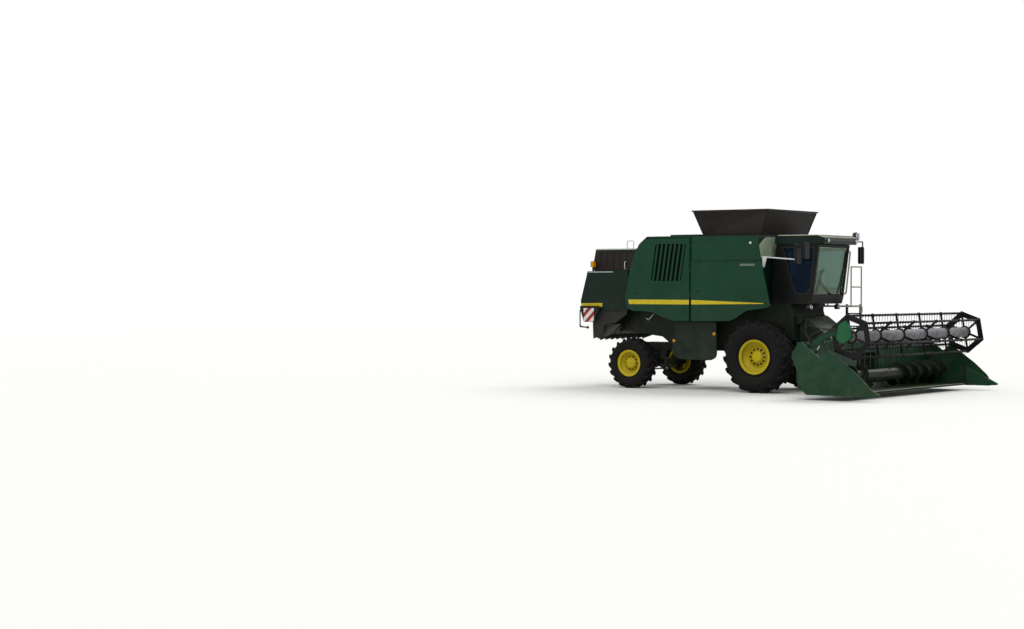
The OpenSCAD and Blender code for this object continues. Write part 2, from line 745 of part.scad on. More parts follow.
module cab_box() {
    difference() {
        side_sheet(rounded(cab_outline, 35), -cab_half_w, cab_half_w);
        side_sheet(cab_inside, -cab_half_w + cab_wall, cab_half_w - cab_wall);
        side_sheet(window_outline, -cab_half_w - eps, -cab_half_w + cab_wall + eps);
        side_sheet(door_outline(gap), cab_half_w - cab_wall - eps, cab_half_w + eps);
        span_box([1000, -screen_half_w, screen_low_z], [1500, screen_half_w, screen_top_z]);
        span_box([0, -600, 2900], [400, 600, 3600]);
    }
}

// The door's outline, larger all round by g
function door_outline(g) = rounded([[360 - g, 2370 - g], [1140 + g, 2370 - g], [1190 + g, 2450 - g],
    [1345 + g, 3700 + g],
    [360 - g, 3700 + g]], door_corner);

module cab_roof() {
    color(green) place() difference() {
        side_sheet(roof_outline, -roof_half_w, roof_half_w);
        side_sheet([[1430, cab_top_z - eps], [1545, cab_top_z - eps], [1580, 3800], [1450, 3800]], -700, 700);
    }
}

module cab_glass() {
    color("#7fa99a") place() {
        side_sheet([[cab_front(screen_low_z) - 20 - glass_t, screen_low_z],
            [cab_front(screen_low_z) - 20, screen_low_z],
            [cab_front(screen_top_z) - 20, screen_top_z],
                [cab_front(screen_top_z) - 20 - glass_t, screen_top_z]],
            -screen_half_w, screen_half_w);
        side_sheet(window_outline, -cab_half_w + 10, -cab_half_w + 10 + glass_t);
        span_box([205, -600, 2900], [205 + glass_t, 600, 3600]);
    }
}

module cab_door() {
    color(dark_grey) place() {
        difference() {
            side_sheet(door_outline(0), cab_half_w - cab_wall, cab_half_w);
            side_sheet(door_glass_outline, cab_half_w - cab_wall - eps, cab_half_w + eps);
        }
        door_hinge_sleeves();
    }
}

module door_glass() {
    color("#7fa99a") place() side_sheet(door_glass_outline, cab_half_w - 18 - glass_t, cab_half_w - 18);
}

module cab_seat() {
    color(black) place() {
        span_box([420, -230, cab_floor_z + seat_gap], [760, 230, cab_floor_z + 380]);
        side_sheet([[380, cab_floor_z + 380], [860, cab_floor_z + 380], [880, cab_floor_z + 450],
            [840, cab_floor_z + 490],
            [500, cab_floor_z + 480], [440, cab_floor_z + 1080], [400, cab_floor_z + 1110],
                [320, cab_floor_z + 1090]], -260, 260);
    }
}

module cab_controls() {
    color(black) place() {
        bar([1060, 0, cab_floor_z + 6.7], [960, 0, cab_floor_z + 700], 90);
        translate([960, 0, cab_floor_z + 700]) rotate([0, -25, 0]) rotate_extrude($fn = 48) translate([190,
            0]) circle(d = 32, $fn = 16);
        translate([960, 0, cab_floor_z + 700]) rotate([0, -25, 0]) for (a = [0, 90]) rotate([0, 0,
            a]) cube([380, 30, 14], center = true);
        span_box([420, -620, cab_floor_z + seat_gap], [900, -330, cab_floor_z + 620]);
    }
}

// Platform and rails outside the door, ladder in front of the left wheel

platform_x0 = 420;
platform_x1 = 1440;
platform_out = 1500;
platform_z = 2200;
ladder_x0 = 960;
ladder_w = 430;
ladder_low_z = 620;
rail_d = 36;

module platform() {
    color(black) place() {
        span_box([platform_x0, body_half_w + seat_gap, platform_z - 40],
            [platform_x1, platform_out, platform_z]);
        span_box([platform_x0, body_half_w + seat_gap, platform_z - 200],
            [platform_x0 + 60, platform_out - 300, platform_z - 39]);
        bar([platform_x1 - 20, 900, platform_z - 5], [platform_x1 - 20, 900, 3200], rail_d);
        bar([platform_x1 - 20, platform_out - 20, platform_z - 5],
            [platform_x1 - 20, platform_out - 20, 3200], rail_d);
        for (z = [2680, 3200]) bar([platform_x1 - 20, 900, z], [platform_x1 - 20, platform_out - 20, z],
            rail_d);
        bar([platform_x0 + 30, platform_out - 20, platform_z - 5],
            [platform_x0 + 30, platform_out - 20, 3100], rail_d);
        ladder_hinge_pin();
    }
}

// The ladder swings out on one pin, between two lugs on the platform's edge
ladder_axis = [ladder_x0 + ladder_w + 26, platform_out + 14];
ladder_pin_d = 24;
ladder_lug_r = 19;
ladder_sleeve = [2025, 2155];

module ladder_hinge_pin() {
    translate([ladder_axis[0], ladder_axis[1], ladder_sleeve[0] - 25])
        cylinder(d = ladder_pin_d, h = ladder_sleeve[1] - ladder_sleeve[0] + 60, $fn = 32);
    for (z = [ladder_sleeve[0] - 20, platform_z - 40])
    {
        span_box([ladder_axis[0] - ladder_lug_r, platform_out - 50, z],
            [ladder_axis[0] + ladder_lug_r, ladder_axis[1], z + 15]);
        translate([ladder_axis[0], ladder_axis[1], z]) cylinder(r = ladder_lug_r, h = 15, $fn = 32);
    }
    span_box([ladder_axis[0] - ladder_lug_r, platform_out - 50, ladder_sleeve[0] - 20],
        [ladder_axis[0] + ladder_lug_r, platform_out - 15, platform_z - 39]);
}

module ladder_hinge_sleeve() {
    translate([ladder_axis[0], ladder_axis[1], ladder_sleeve[0]]) difference() {
        h = ladder_sleeve[1] - ladder_sleeve[0];
        union() {
            cylinder(d = 44, h = h, $fn = 32);
            translate([-36, -13, 0]) cube([36, 30, h]);
        }
        translate([0, 0, -1]) cylinder(d = ladder_pin_d + 2 * seat_gap, h = h + 2, $fn = 32);
    }
}

module ladder() {
    color(black) place() {
        ladder_hinge_sleeve();
        for (x = [ladder_x0, ladder_x0 + ladder_w - 40])
            span_box([x, platform_out + seat_gap, ladder_low_z], [x + 40, platform_out + 80, platform_z + 30]);
        for (i = [0:4]) translate([0, 0, ladder_low_z + 30 + i * 330])
            span_box([ladder_x0 + 39, platform_out + 5, 0],
                [ladder_x0 + ladder_w - 39, platform_out + 150, 30]);
    }
}

// A mirror housing from its lowest corner, with its sizes along x, y and z
module mirror_head(low, size) cross_sheet(rounded([for (p = [[0, 0], [size[1], 0], [size[1], size[2]],
    [0, size[2]]])
    [low[1] + p[0], low[2] + p[1]]], 45), low[0], low[0] + size[0]);

module mirrors() {
    color(black) place() {
        bar([52.5, -1400, 3440], [1130, -1500, 3360], 32);
        bar([1130, -1500, 3250], [1130, -1500, 3740], 32);
        mirror_head([1140, -1620, 3250], [60, 230, 500]);
        bar([1130, -1500, 3660], [1400, -1520, 3700], 28);
        mirror_head([1390, -1640, 3370], [50, 220, 410]);
        bar([1440, roof_half_w + seat_gap, 3850], [1440, 1500, 3850], 32);
        bar([1440, 1500, 3860], [1440, 1500, 3300], 32);
        mirror_head([1370, 1390, 3280], [60, 230, 440]);
    }
}

beacon_at = [-5240, -1100, 3091.6];

module lamps() {
    color("#e0e0d8") place() {
        for (y = [-620, -380, 380, 620]) span_box([1452, y - 80, cab_top_z + 5],
            [1540, y + 80, cab_top_z + 39.5]);
        for (s = [-1, 1]) translate([1610 + seat_gap, s * 760, 3840]) rotate([0, 90, 0]) cylinder(d = 90,
            h = 30, $fn = 32);
        translate([1400, cab_half_w + 250, cab_roof_z - 10]) rotate([0, 90, 0]) cylinder(d = 220, h = 110,
            $fn = 48);
        bar([1440, roof_half_w + seat_gap, 3890], [1440, cab_half_w + 250, 3890], 30);
        for (y = [-760, 760]) {
            translate([1040, y, cab_low_z - 80]) rotate([0, 90, 0]) cylinder(d = 130, h = 110, $fn = 32);
            span_box([1070, y - 20, cab_low_z - 60], [1110, y + 20, cab_low_z - seat_gap]);
        }
        translate([beacon_at[0], beacon_at[1], beacon_at[2]]) cylinder(d = 60, h = 130, $fn = 32);
        translate([beacon_at[0], beacon_at[1], beacon_at[2] + 110]) cylinder(d = 150, h = 150, $fn = 32);
    }
}

module front_fairing() {
    color("#8d9a80") place()
        cross_sheet([[-1457, 3410], [-1457, 3680], [-1020, 3940], [1020, 3940], [1457, 3680], [1457, 3410]],
            tank_x1 + seat_gap, tank_x1 + 80);
}

// Unloading auger on the left, folded back along the tank

unload_at = [-250, 1720];
unload_z = 3740;
turret_top_z = unload_z - unload_d / 2 - gap;

module auger_turret() {
    color(green) place() {
        translate([unload_at[0], unload_at[1], 3400]) cylinder(d = unload_d, h = turret_top_z - 3400, $fn = 64);
        translate([unload_at[0] - 150, panel_half_w + seat_gap, 3400])
            cube([300, unload_at[1] - panel_half_w, turret_top_z - 3400]);
    }
}

module unloading_auger() {
    color(green) place() {
        translate([unload_at[0], unload_at[1], turret_top_z + seat_gap]) cylinder(d = unload_d + 40,
            h = unload_d + 2 * gap, $fn = 64);
        translate([unload_at[0], unload_at[1], unload_z]) rotate([0, -90, 0]) difference() {
            union() {
                cylinder(d = unload_d, h = unload_l, $fn = 64);
                translate([0, 0, unload_l - 260]) cylinder(d = unload_d + 50, h = 260, $fn = 64);
            }
            translate([0, 0, unload_l - 500]) cylinder(d = unload_d - 30, h = 600, $fn = 64);
        }
    }
}

// Feeder house, hinged on the threshing body, and its two lift cylinders

lift_at = [800, 1850];
feeder_half_w = 650;
feeder_front = 2080;
hinge_d = 80;
ear_t = 60;
ear_y = feeder_half_w + gap;
ram_y = 450;
ram_foot = [190, 830];
ram_eye = [1500, 660];
ram_d = 120;
ram_rod_d = 70;
ram_pin_d = 50;
ram_barrel_l = 860;
ram_slack = 8;

// Ears on the body's front that carry the feeder's hinge shaft
module hinge_ears() {
    for (s = [-1, 1]) difference() {
        side_sheet([[699, lift_at[1] - 130], [lift_at[0] + 40, lift_at[1] - 90], [lift_at[0] + 90, lift_at[1]],
            [lift_at[0] + 40, lift_at[1] + 90], [699, lift_at[1] + 110]], s * ear_y, s * (ear_y + ear_t));
        cross_bar(lift_at, hinge_d + 2 * seat_gap, s * (ear_y - eps), s * (ear_y + ear_t + eps));
    }
}

module feeder_house() {
    color(green) place() {
        side_sheet(rounded([[770, 1340], [755, 1880], [790, 1925], [900, 1925], [feeder_front, 1080],
            [feeder_front, 420],
            [1960, 400]], 35), -feeder_half_w, feeder_half_w);
        cross_bar(lift_at, hinge_d, -ear_y - ear_t - 10, ear_y + ear_t + 10);
        for (s = [-1, 1]) {
            for (t = [-1, 1]) side_sheet([[ram_eye[0] - 160, 960], [ram_eye[0] - 45, ram_eye[1] - 40],
                [ram_eye[0] + 45, ram_eye[1] - 40],
                [ram_eye[0] + 160, 760]], s * ram_y + t * 35, s * ram_y + t * 65);
            cross_bar(ram_eye, ram_pin_d, s * ram_y - 66, s * ram_y + 66);
        }
    }
}

// Lift ram lengths and the direction of its rest pose
ram_v = ram_eye - ram_foot;
ram_l = norm(ram_v);
ram_angle = atan2(ram_v[1], ram_v[0]);

module along_ram(s) {
    place() translate([ram_foot[0], s * ram_y, ram_foot[1]]) rotate([0, 90 - ram_angle, 0]) children();
}

module lift_barrels() {
    color(black) for (s = [-1, 1]) along_ram(s) difference() {
        union() {
            rotate([90, 0, 0]) cylinder(d = 110, h = 60, center = true, $fn = 48);
            translate([0, 0, 20]) cylinder(d = 56, h = 60, $fn = 48);
            translate([0, 0, 68]) cylinder(d = ram_d, h = ram_barrel_l - 68, $fn = 48);
        }
        rotate([90, 0, 0]) cylinder(d = ram_pin_d + 2 * seat_gap, h = 80, center = true, $fn = 32);
        translate([0, 0, 80]) cylinder(d = ram_rod_d + 2 * seat_gap, h = ram_barrel_l, $fn = 48);
    }
}

module lift_rods() {
    color(light_grey) for (s = [-1, 1]) along_ram(s) difference() {
        union() {
            translate([0, 0, 130]) cylinder(d = ram_rod_d, h = ram_l - 150, $fn = 48);
            translate([0, 0, ram_l]) rotate([90, 0, 0]) cylinder(d = 100, h = 56, center = true, $fn = 48);
        }
        translate([0, 0, ram_l]) rotate([90, 0, 0]) cylinder(d = ram_pin_d + 2 * ram_slack, h = 80,
            center = true, $fn = 32);
    }
}

// Clevises on the front axle beam for the lift rams
module ram_clevises() {
    for (s = [-1, 1]) {
        for (t = [-1, 1]) side_sheet([[100, front_z + 60], [100, front_z - 129],
            [ram_foot[0] + 30, ram_foot[1] - 50],
            [ram_foot[0] + 50, ram_foot[1]], [ram_foot[0] + 30, ram_foot[1] + 50]],
            s * ram_y + t * 35, s * ram_y + t * 65);
        cross_bar(ram_foot, ram_pin_d, s * ram_y - 66, s * ram_y + 66);
    }
}

// Header: back sheet, floor and trough, end sheets with dividers, guards and knife

function arc(c, r, a0, a1, n) = [for (i = [0:n]) let (a = a0 + (a1 - a0) * i / n) c + r * [cos(a), sin(a)]];

trough_r = auger_d / 2 + 25;
auger_at = [2660, header_z + header_sheet + trough_r];
back_x = auger_at[0] - trough_r;
header_half_w = header_w / 2;
end_t = 30;
inner_half_w = header_half_w - end_t - seat_gap;
knife_x = 3480;
knife_z = header_z + 50;
beam_w2 = 150;
beam_top = 1370;
back_rib_t = 60;
reel_pivot = [back_x + 90, 1290];
reel_at = [3510, 1510];
reel_arm_y = header_half_w - 150;
reel_arm_t = 60;
pivot_pin_d = 40;

module header_frame() {
    color(green) place() difference() {
        union() {
            side_sheet(concat(arc(auger_at, trough_r, 180, 270, 8), [[knife_x - 60, header_z + header_sheet],
                [knife_x - 60, header_z]], arc(auger_at, trough_r + header_sheet, 270, 180, 8)),
                    -inner_half_w, inner_half_w);
            span_box([back_x - header_sheet, -inner_half_w, auger_at[1] - eps],
                [back_x, inner_half_w, beam_top]);
            span_box([back_x - beam_w2, -inner_half_w, beam_top - beam_w2],
                [back_x - eps, inner_half_w, beam_top]);
            span_box([back_x - 130, -inner_half_w, 300], [back_x - header_sheet + eps, inner_half_w, 420]);
            for (s = [-1, 1], share = [0.33, 0.66, 0.98]) let (y = s * share * (inner_half_w - back_rib_t))
                side_sheet([[back_x - eps, beam_top - eps], [back_x - 230, beam_top - 300], [back_x - 200, 400],
                    [back_x - eps, 301]], y - back_rib_t / 2, y + back_rib_t / 2);
            span_box([feeder_front + seat_gap, -feeder_half_w - 60, 380], [back_x, feeder_half_w + 60, 1120]);
            for (s = [-1, 1], t = [-1, 1]) let (y = s * reel_arm_y + t * (reel_arm_t / 2 + 5 + 20))
                side_sheet([[back_x - 20, reel_pivot[1] - 75], [reel_pivot[0] + 20, reel_pivot[1] - 50],
                    [reel_pivot[0] + 50, reel_pivot[1]],
                    [reel_pivot[0] + 20, reel_pivot[1] + 50], [back_x - 20, reel_pivot[1] + 75]],
                        y - 15, y + 15);
            for (s = [-1, 1]) {
                cross_bar(reel_pivot, pivot_pin_d, s * reel_arm_y - 62, s * reel_arm_y + 62);
                ram_ears([[back_x - eps, reel_foot[1] + 50], [back_x - eps, reel_foot[1] - 80],
                    for (p = [[-20, -35], [28, -20], [28, 20], [-15, 34]]) reel_foot + p], reel_foot, s);
            }
        }
        span_box([feeder_front - 10, -feeder_half_w + 50, 450], [back_x + eps, feeder_half_w - 50, 1040]);
    }
}

end_outline = [[2320, 1370], [2380, 1330], [2820, 1010], [3030, 1190], [3700, 710], [4050, 400],
    [4180, 170], [4140, header_z],
    [2450, header_z], [2290, 300], [2270, 560], [2060, 1020], [2080, 1120], [2250, 1350]];
tip_z = 170;

module end_sheets() {
    color(green) place() both_sides() {
        difference() {
            side_sheet(rounded(end_outline, 45), -header_half_w, -header_half_w + end_t);
            cross_bar(auger_at, auger_shaft_d + 2 * seat_gap, -header_half_w - eps,
                -header_half_w + end_t + eps);
        }
        hull() {
            span_box([3500, -header_half_w + end_t - 1, header_z], [3520, -header_half_w + end_t + 100, 600]);
            span_box([4050, -header_half_w + 5, header_z + 10], [4060, -header_half_w + 60, 330]);
            translate([front_reach - 30, -header_half_w + 30, tip_z]) sphere(d = 60, $fn = 16);
        }
    }
}

// One tooth outline repeated along Y, as [x, y] from y0, with n teeth of one pitch
function comb(x0, x1, x2, root, tip, pitch, n, y0) = concat([[x0, y0]],
    [for (i = [0:n - 1], p = [[x1, (pitch - root) / 2], [x2, (pitch - tip) / 2], [x2, (pitch + tip) / 2],
        [x1, (pitch + root) / 2]])
        [p[0], y0 + i * pitch + p[1]]], [[x0, y0 + n * pitch]]);

guard_pitch = 76.2;
guard_n = floor(2 * (inner_half_w - 110) / guard_pitch);
guard_y0 = -guard_n * guard_pitch / 2;

module guard_bar() {
    color(dark_grey) place() {
        translate([0, 0, knife_z - 24]) linear_extrude(24) polygon(comb(knife_x - 60 + seat_gap, knife_x,
            knife_x + 115, 34, 8, guard_pitch, guard_n, guard_y0));
    }
}

module knife() {
    color(light_grey) place() translate([0, 0, knife_z + seat_gap]) linear_extrude(6)
        polygon(comb(knife_x - 30, knife_x - 5, knife_x + 55, 70, 14, guard_pitch, guard_n - 2,
            guard_y0 + guard_pitch));
}

// A flight wound on the auger tube from y0 up to y1
module flight(y0, y1, r0, r1, pitch, t) {
    n = ceil((y1 - y0) / pitch * flight_steps);
    ring = [for (i = [0:n]) let (a = 360 * i / flight_steps, y = y0 + (y1 - y0) * i / n)
        each [[r0 * cos(a), y, r0 * sin(a)], [r1 * cos(a), y, r1 * sin(a)],
            [r1 * cos(a), y + t, r1 * sin(a)], [r0 * cos(a), y + t, r0 * sin(a)]]];
    quads = [for (i = [0:n - 1], k = [0:3]) let (j = (k + 1) % 4) [4 * i + j, 4 * i + k, 4 * i + 4 + k,
        4 * i + 4 + j]];
    sides = [for (f = quads) each [[f[0], f[1], f[2]], [f[0], f[2], f[3]]]];
    polyhedron(ring, concat(sides, [[0, 1, 2, 3], [4 * n + 3, 4 * n + 2, 4 * n + 1, 4 * n]]));
}

flight_steps = 16;
auger_half_l = inner_half_w - 20;
auger_shaft_d = 60;

module header_auger() {
    color(dark_green) place() translate([auger_at[0], 0, auger_at[1]]) {
        r0 = (auger_tube_d / 2 + seat_gap) / cos(180 / 16);
        translate([0, auger_half_l, 0]) rotate([90, 0, 0]) cylinder(d = auger_tube_d, h = 2 * auger_half_l,
            $fn = 64);
        translate([0, header_half_w - 5, 0]) rotate([90, 0, 0]) cylinder(d = auger_shaft_d,
            h = header_w - 10, $fn = 48);
        both_sides() flight(-auger_half_l + 10, -700, r0, auger_d / 2, 560, 12);
        for (i = [0:11]) translate([0, -660 + i * 120, 0]) rotate([0, i * 110, 0])
            translate([0, 0, auger_tube_d / 2 + seat_gap]) cylinder(d = 16,
                h = (auger_d - auger_tube_d) / 2 - 5, $fn = 16);
    }
}

// Reel lift rams: a barrel on the header's back sheet and a rod to the ears below each reel arm

reel_foot = [2520, 960];
reel_eye = [2750, 1313];
reel_ram_d = 50;
reel_rod_d = 28;
reel_pin_d = 24;
reel_barrel_l = 270;
reel_rod_l = 266;
reel_slack = 8;
ear_in = 15;
reel_ram_v = reel_eye - reel_foot;
reel_ram_l = norm(reel_ram_v);
reel_ram_angle = atan2(reel_ram_v[1], reel_ram_v[0]);

module along_reel_ram(s) {
    place() translate([reel_foot[0], s * reel_arm_y, reel_foot[1]]) rotate([0, 90 - reel_ram_angle,
        0]) children();
}

// Two ears, one on either side of a ram's eye, and the pin through them
module ram_ears(outline, pin, s) {
    for (t = [-1, 1]) let (a = s * reel_arm_y + t * ear_in, b = s * reel_arm_y + t * reel_arm_t / 2)
        side_sheet(outline, min(a, b), max(a, b));
    cross_bar(pin, reel_pin_d, s * reel_arm_y - reel_arm_t / 2 - 2, s * reel_arm_y + reel_arm_t / 2 + 2);
}

module reel_lift_barrels() {
    color(black) for (s = [-1, 1]) along_reel_ram(s) difference() {
        union() {
            rotate([90, 0, 0]) cylinder(d = 56, h = 2 * ear_in - 4, center = true, $fn = 32);
            cylinder(d = 2 * ear_in - 6, h = 50, $fn = 32);
            translate([0, 0, 42]) cylinder(d = reel_ram_d, h = reel_barrel_l - 42, $fn = 48);
        }
        rotate([90, 0, 0]) cylinder(d = reel_pin_d + 2 * seat_gap, h = 60, center = true, $fn = 32);
        translate([0, 0, 56]) cylinder(d = reel_rod_d + 2 * seat_gap, h = reel_barrel_l, $fn = 32);
    }
}

module reel_lift_rods() {
    color(light_grey) for (s = [-1, 1]) along_reel_ram(s) difference() {
        union() {
            translate([0, 0, reel_ram_l - reel_rod_l]) cylinder(d = reel_rod_d, h = reel_rod_l - 22, $fn = 32);
            translate([0, 0, reel_ram_l]) rotate([90, 0, 0]) cylinder(d = 60, h = 2 * ear_in - 4,
                center = true, $fn = 32);
        }
        translate([0, 0, reel_ram_l]) rotate([90, 0, 0])
            cylinder(d = reel_pin_d + 2 * reel_slack, h = 60, center = true, $fn = 32);
    }
}

// Reel arms with the drive cover on the right

arm_outline = [[reel_pivot[0] + 40, reel_pivot[1] + 62], [3040, 1700], [3480, 1590], [3590, 1540], [3590, 1480],
    [3480, 1430], [3060, 1530], [reel_pivot[0] + 40, reel_pivot[1] - 62]];
cover_outline = [[3270, 1790], [3450, 1900], [3580, 1720], [3610, 1490], [3400, 1340], [3220, 1440]];
reel_shaft_d = 60;

module reel_arms() {
    color(green) place() difference() {
        union() {
            for (s = [-1, 1]) {
                side_sheet(rounded(arm_outline, 40), s * reel_arm_y - reel_arm_t / 2,
                    s * reel_arm_y + reel_arm_t / 2);
                cross_bar(reel_pivot, 124, s * reel_arm_y - reel_arm_t / 2, s * reel_arm_y + reel_arm_t / 2);
                ram_ears([for (p = [[-80, 22], [-35, -15], [-18, -30], [18, -30], [40, -8], [110, 127],
                    [-50, 67]]) reel_eye + p],
                    reel_eye, s);
            }
            side_sheet(rounded(cover_outline, 45), -header_half_w + end_t + 10,
                -reel_arm_y - reel_arm_t / 2 + eps);
        }
        for (s = [-1, 1]) {
            cross_bar(reel_pivot, pivot_pin_d + 2 * seat_gap, s * reel_arm_y - 50, s * reel_arm_y + 50);
            cross_bar(reel_at, reel_shaft_d + 2 * seat_gap, s * (reel_arm_y - 50), s * (reel_arm_y + 26));
        }
    }
}

// Reel: centre tube, six-armed spiders, bat tubes and their tines

bat_count = 6;
bat_phase = 40;
reel_half_l = reel_arm_y - reel_arm_t / 2 - 30;
spider_ys = [for (i = [0:5]) -reel_half_l + 15 + i * (2 * reel_half_l - 30) / 5];
tine_n = floor((2 * reel_half_l - 200) / tine_pitch);

// One plate for each spider: a spoke to each bat, and on the outermost ones a six-sided ring as well
ring_out = 58;
ring_in = 100;
spoke_w = 56;
half_step = 180 / bat_count;
hub_corner = spoke_w / 2 / sin(half_step);
ring_flat = (reel_r - ring_in) * cos(half_step);
function turned(p, a) = [p[0] * cos(a) - p[1] * sin(a), p[0] * sin(a) + p[1] * cos(a)];
function around(points, a0) = [for (i = [0:bat_count - 1], p = points) turned(p, a0 + 2 * half_step * i)];

module spider(ring) {
    translate([0, 0, -5]) linear_extrude(10) if (ring) difference() {
        polygon(around([[reel_r + ring_out, 0]], -bat_phase));
        for (i = [0:bat_count - 1])
            polygon([for (p = [[hub_corner, 0], [ring_flat, -(ring_flat - hub_corner) * tan(half_step)],
                [ring_flat, (ring_flat - hub_corner) * tan(half_step)]]) turned(p,
                    half_step * (2 * i + 1) - bat_phase)]);
    } else
        polygon(around([[reel_r, -spoke_w / 2], [reel_r, spoke_w / 2], turned([hub_corner, 0], half_step)],
            -bat_phase));
    for (i = [0:bat_count - 1]) rotate([0, 0, -bat_phase - 2 * half_step * i]) translate([reel_r, 0, -8])
        cylinder(d = bat_d + 40, h = 16, $fn = 32);
}

module reel() {
    color(black) place() translate([reel_at[0], 0, reel_at[1]]) {
        translate([0, reel_half_l, 0]) rotate([90, 0, 0]) cylinder(d = reel_tube_d, h = 2 * reel_half_l,
            $fn = 64);
        for (s = [-1, 1]) translate([0, s * (reel_half_l - 1), 0]) rotate([s * -90, 0, 0])
            cylinder(d = reel_shaft_d, h = reel_arm_y + 20 - reel_half_l, $fn = 32);
        for (i = [0:len(spider_ys) - 1]) translate([0, spider_ys[i],
            0]) rotate([90, 0, 0]) spider(i == 0 || i == 5);
        for (i = [0:bat_count - 1]) let (a = bat_phase + i * 360 / bat_count)
            translate([reel_r * cos(a), 0, reel_r * sin(a)]) {
                translate([0, reel_half_l, 0]) rotate([90, 0, 0]) cylinder(d = bat_d, h = 2 * reel_half_l,
                    $fn = 32);
                translate([4, 0, 0]) rotate([0, 90, 180]) linear_extrude(8)
                    polygon(comb(0, bat_d / 2 + 8, tine_l, 14, 8, tine_pitch, tine_n,
                        -tine_n * tine_pitch / 2));
            }
    }
}

// Hydraulic hose along the right reel arm
hose_d = 28;
// It leaves the arm's outer face, loops up beside it and ends at the cover: x, distance from the face, z
hose_path = [[2530, seat_gap, 1350], [2530, 24, 1350], [2522, 38, 1380], [2505, 42, 1430], [2500, 42, 1480],
    [2520, 42, 1530], [2570, 42, 1570], [2650, 42, 1595], [2750, 42, 1625], [2850, 42, 1655],
    [2960, 42, 1680], [3060, 42, 1690], [3150, 42, 1675], [3245, 42, 1640]];
hose_route = [for (p = hose_path) [p[0], -reel_arm_y - reel_arm_t / 2 - p[1], p[2]]];

function hose_tangent(i) = unit(hose_route[min(i + 1, len(hose_route) - 1)] - hose_route[max(i - 1, 0)]);

module reel_hose() {
    sides = 8;
    n = len(hose_route);
    rings = [for (i = [0:n - 1]) let (t = hose_tangent(i), u = unit(cross(t, [0.2, 1, 0.1])), v = cross(t, u))
        for (k = [0:sides - 1]) hose_route[i] + hose_d / 2 * (cos(k * 360 / sides) * u + sin(k * 360 / sides) * v)];
    tri = [for (i = [0:n - 2], k = [0:sides - 1]) let (a = i * sides + k, b = i * sides + (k + 1) % sides)
        each [[a, b, a + sides], [b, b + sides, a + sides]]];
    color(black) place() polyhedron(rings, concat(tri, [[for (k = [sides - 1:-1:0]) k]],
        [[for (k = [0:sides - 1]) (n - 1) * sides + k]]));
}

main_frame();
threshing_body();
grain_tank();
tank_extension();
tank_panels();
engine_hood();
engine_block();
air_box();
straw_hood();
chopper();
rear_brackets();
cab_shell();
cab_roof();
cab_glass();
cab_seat();
cab_controls();
cab_door();
door_glass();
platform();
ladder();
mirrors();
lamps();
front_fairing();
side_panel_right();
side_panel_left();
engine_panel_right();
engine_panel_left();
lower_shields();
auger_turret();
unloading_auger();
tyre_front_right();
tyre_front_left();
rim_front_right();
rim_front_left();
tyre_rear_right();
tyre_rear_left();
rim_rear_right();
rim_rear_left();
rear_axle();
knuckle_right();
knuckle_left();
tie_rod();
feeder_house();
header_frame();
end_sheets();
guard_bar();
knife();
header_auger();
reel_arms();
reel();
reel_hose();
reel_lift_barrels();
reel_lift_rods();
lift_barrels();
lift_rods();
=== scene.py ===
# %% [markdown]
# A combine harvester is a big painted sheet-metal machine. Its solids come from the packed
# frame, which this script loads and never moves. What is made here is what the eye reads as
# real: paint with dust on it, rubber, glass, and the small fittings on every panel.
# The frame is loaded first, and its box is kept, because nothing may grow past it.

# %% Load the frame
import json
import math

import bmesh
import bpy
from mathutils import Matrix, Vector


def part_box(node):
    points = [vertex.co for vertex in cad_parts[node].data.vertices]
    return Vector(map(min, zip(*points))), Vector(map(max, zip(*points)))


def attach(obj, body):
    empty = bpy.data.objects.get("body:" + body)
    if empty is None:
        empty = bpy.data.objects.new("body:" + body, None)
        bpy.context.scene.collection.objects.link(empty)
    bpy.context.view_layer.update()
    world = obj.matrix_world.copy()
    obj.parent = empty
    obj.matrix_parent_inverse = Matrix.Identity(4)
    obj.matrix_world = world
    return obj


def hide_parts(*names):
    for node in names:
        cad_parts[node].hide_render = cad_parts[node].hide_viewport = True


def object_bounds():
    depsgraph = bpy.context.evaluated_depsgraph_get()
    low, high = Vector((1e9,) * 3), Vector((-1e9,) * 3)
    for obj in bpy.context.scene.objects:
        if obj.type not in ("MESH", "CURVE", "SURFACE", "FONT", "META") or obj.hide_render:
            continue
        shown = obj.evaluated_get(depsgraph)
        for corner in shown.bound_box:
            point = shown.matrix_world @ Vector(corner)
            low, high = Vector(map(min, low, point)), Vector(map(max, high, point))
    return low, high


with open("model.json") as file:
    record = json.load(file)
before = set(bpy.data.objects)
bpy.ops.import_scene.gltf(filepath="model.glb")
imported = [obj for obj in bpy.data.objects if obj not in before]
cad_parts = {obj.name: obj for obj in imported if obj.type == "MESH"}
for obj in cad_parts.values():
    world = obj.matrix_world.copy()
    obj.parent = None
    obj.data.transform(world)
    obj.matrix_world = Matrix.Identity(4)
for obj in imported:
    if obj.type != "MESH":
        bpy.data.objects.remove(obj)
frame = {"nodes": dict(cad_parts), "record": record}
cad_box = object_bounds()
nodes = frame["nodes"]
length = cad_box[1].x - cad_box[0].x
print("length over all", round(length, 3), "m")

# %% [markdown]
# The camera stands where the photographer stood, far off to the front right with a long lens.
# Its place is written from the front axle's line on the ground, in metres, and so is its
# forward direction. A small roll levels the horizon as in the photograph.

# %% Camera
front_axle_x = (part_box("tyre_front_right")[0].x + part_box("tyre_front_right")[1].x) / 2
camera_place = Vector((24.525 + front_axle_x, -45.040, 2.678))
camera_forward = Vector((-0.59443, 0.80402, -0.01427)).normalized()
camera_roll = math.radians(0.11)
photo_width_px = 1024
focal_px = 1967.6
sensor_mm = 36
far_limit = 400


def put(name, data):
    """Places a new object in the scene, from a mesh, a curve, a lamp or a camera."""
    made = bpy.data.objects.new(name, data)
    bpy.context.collection.objects.link(made)
    return made


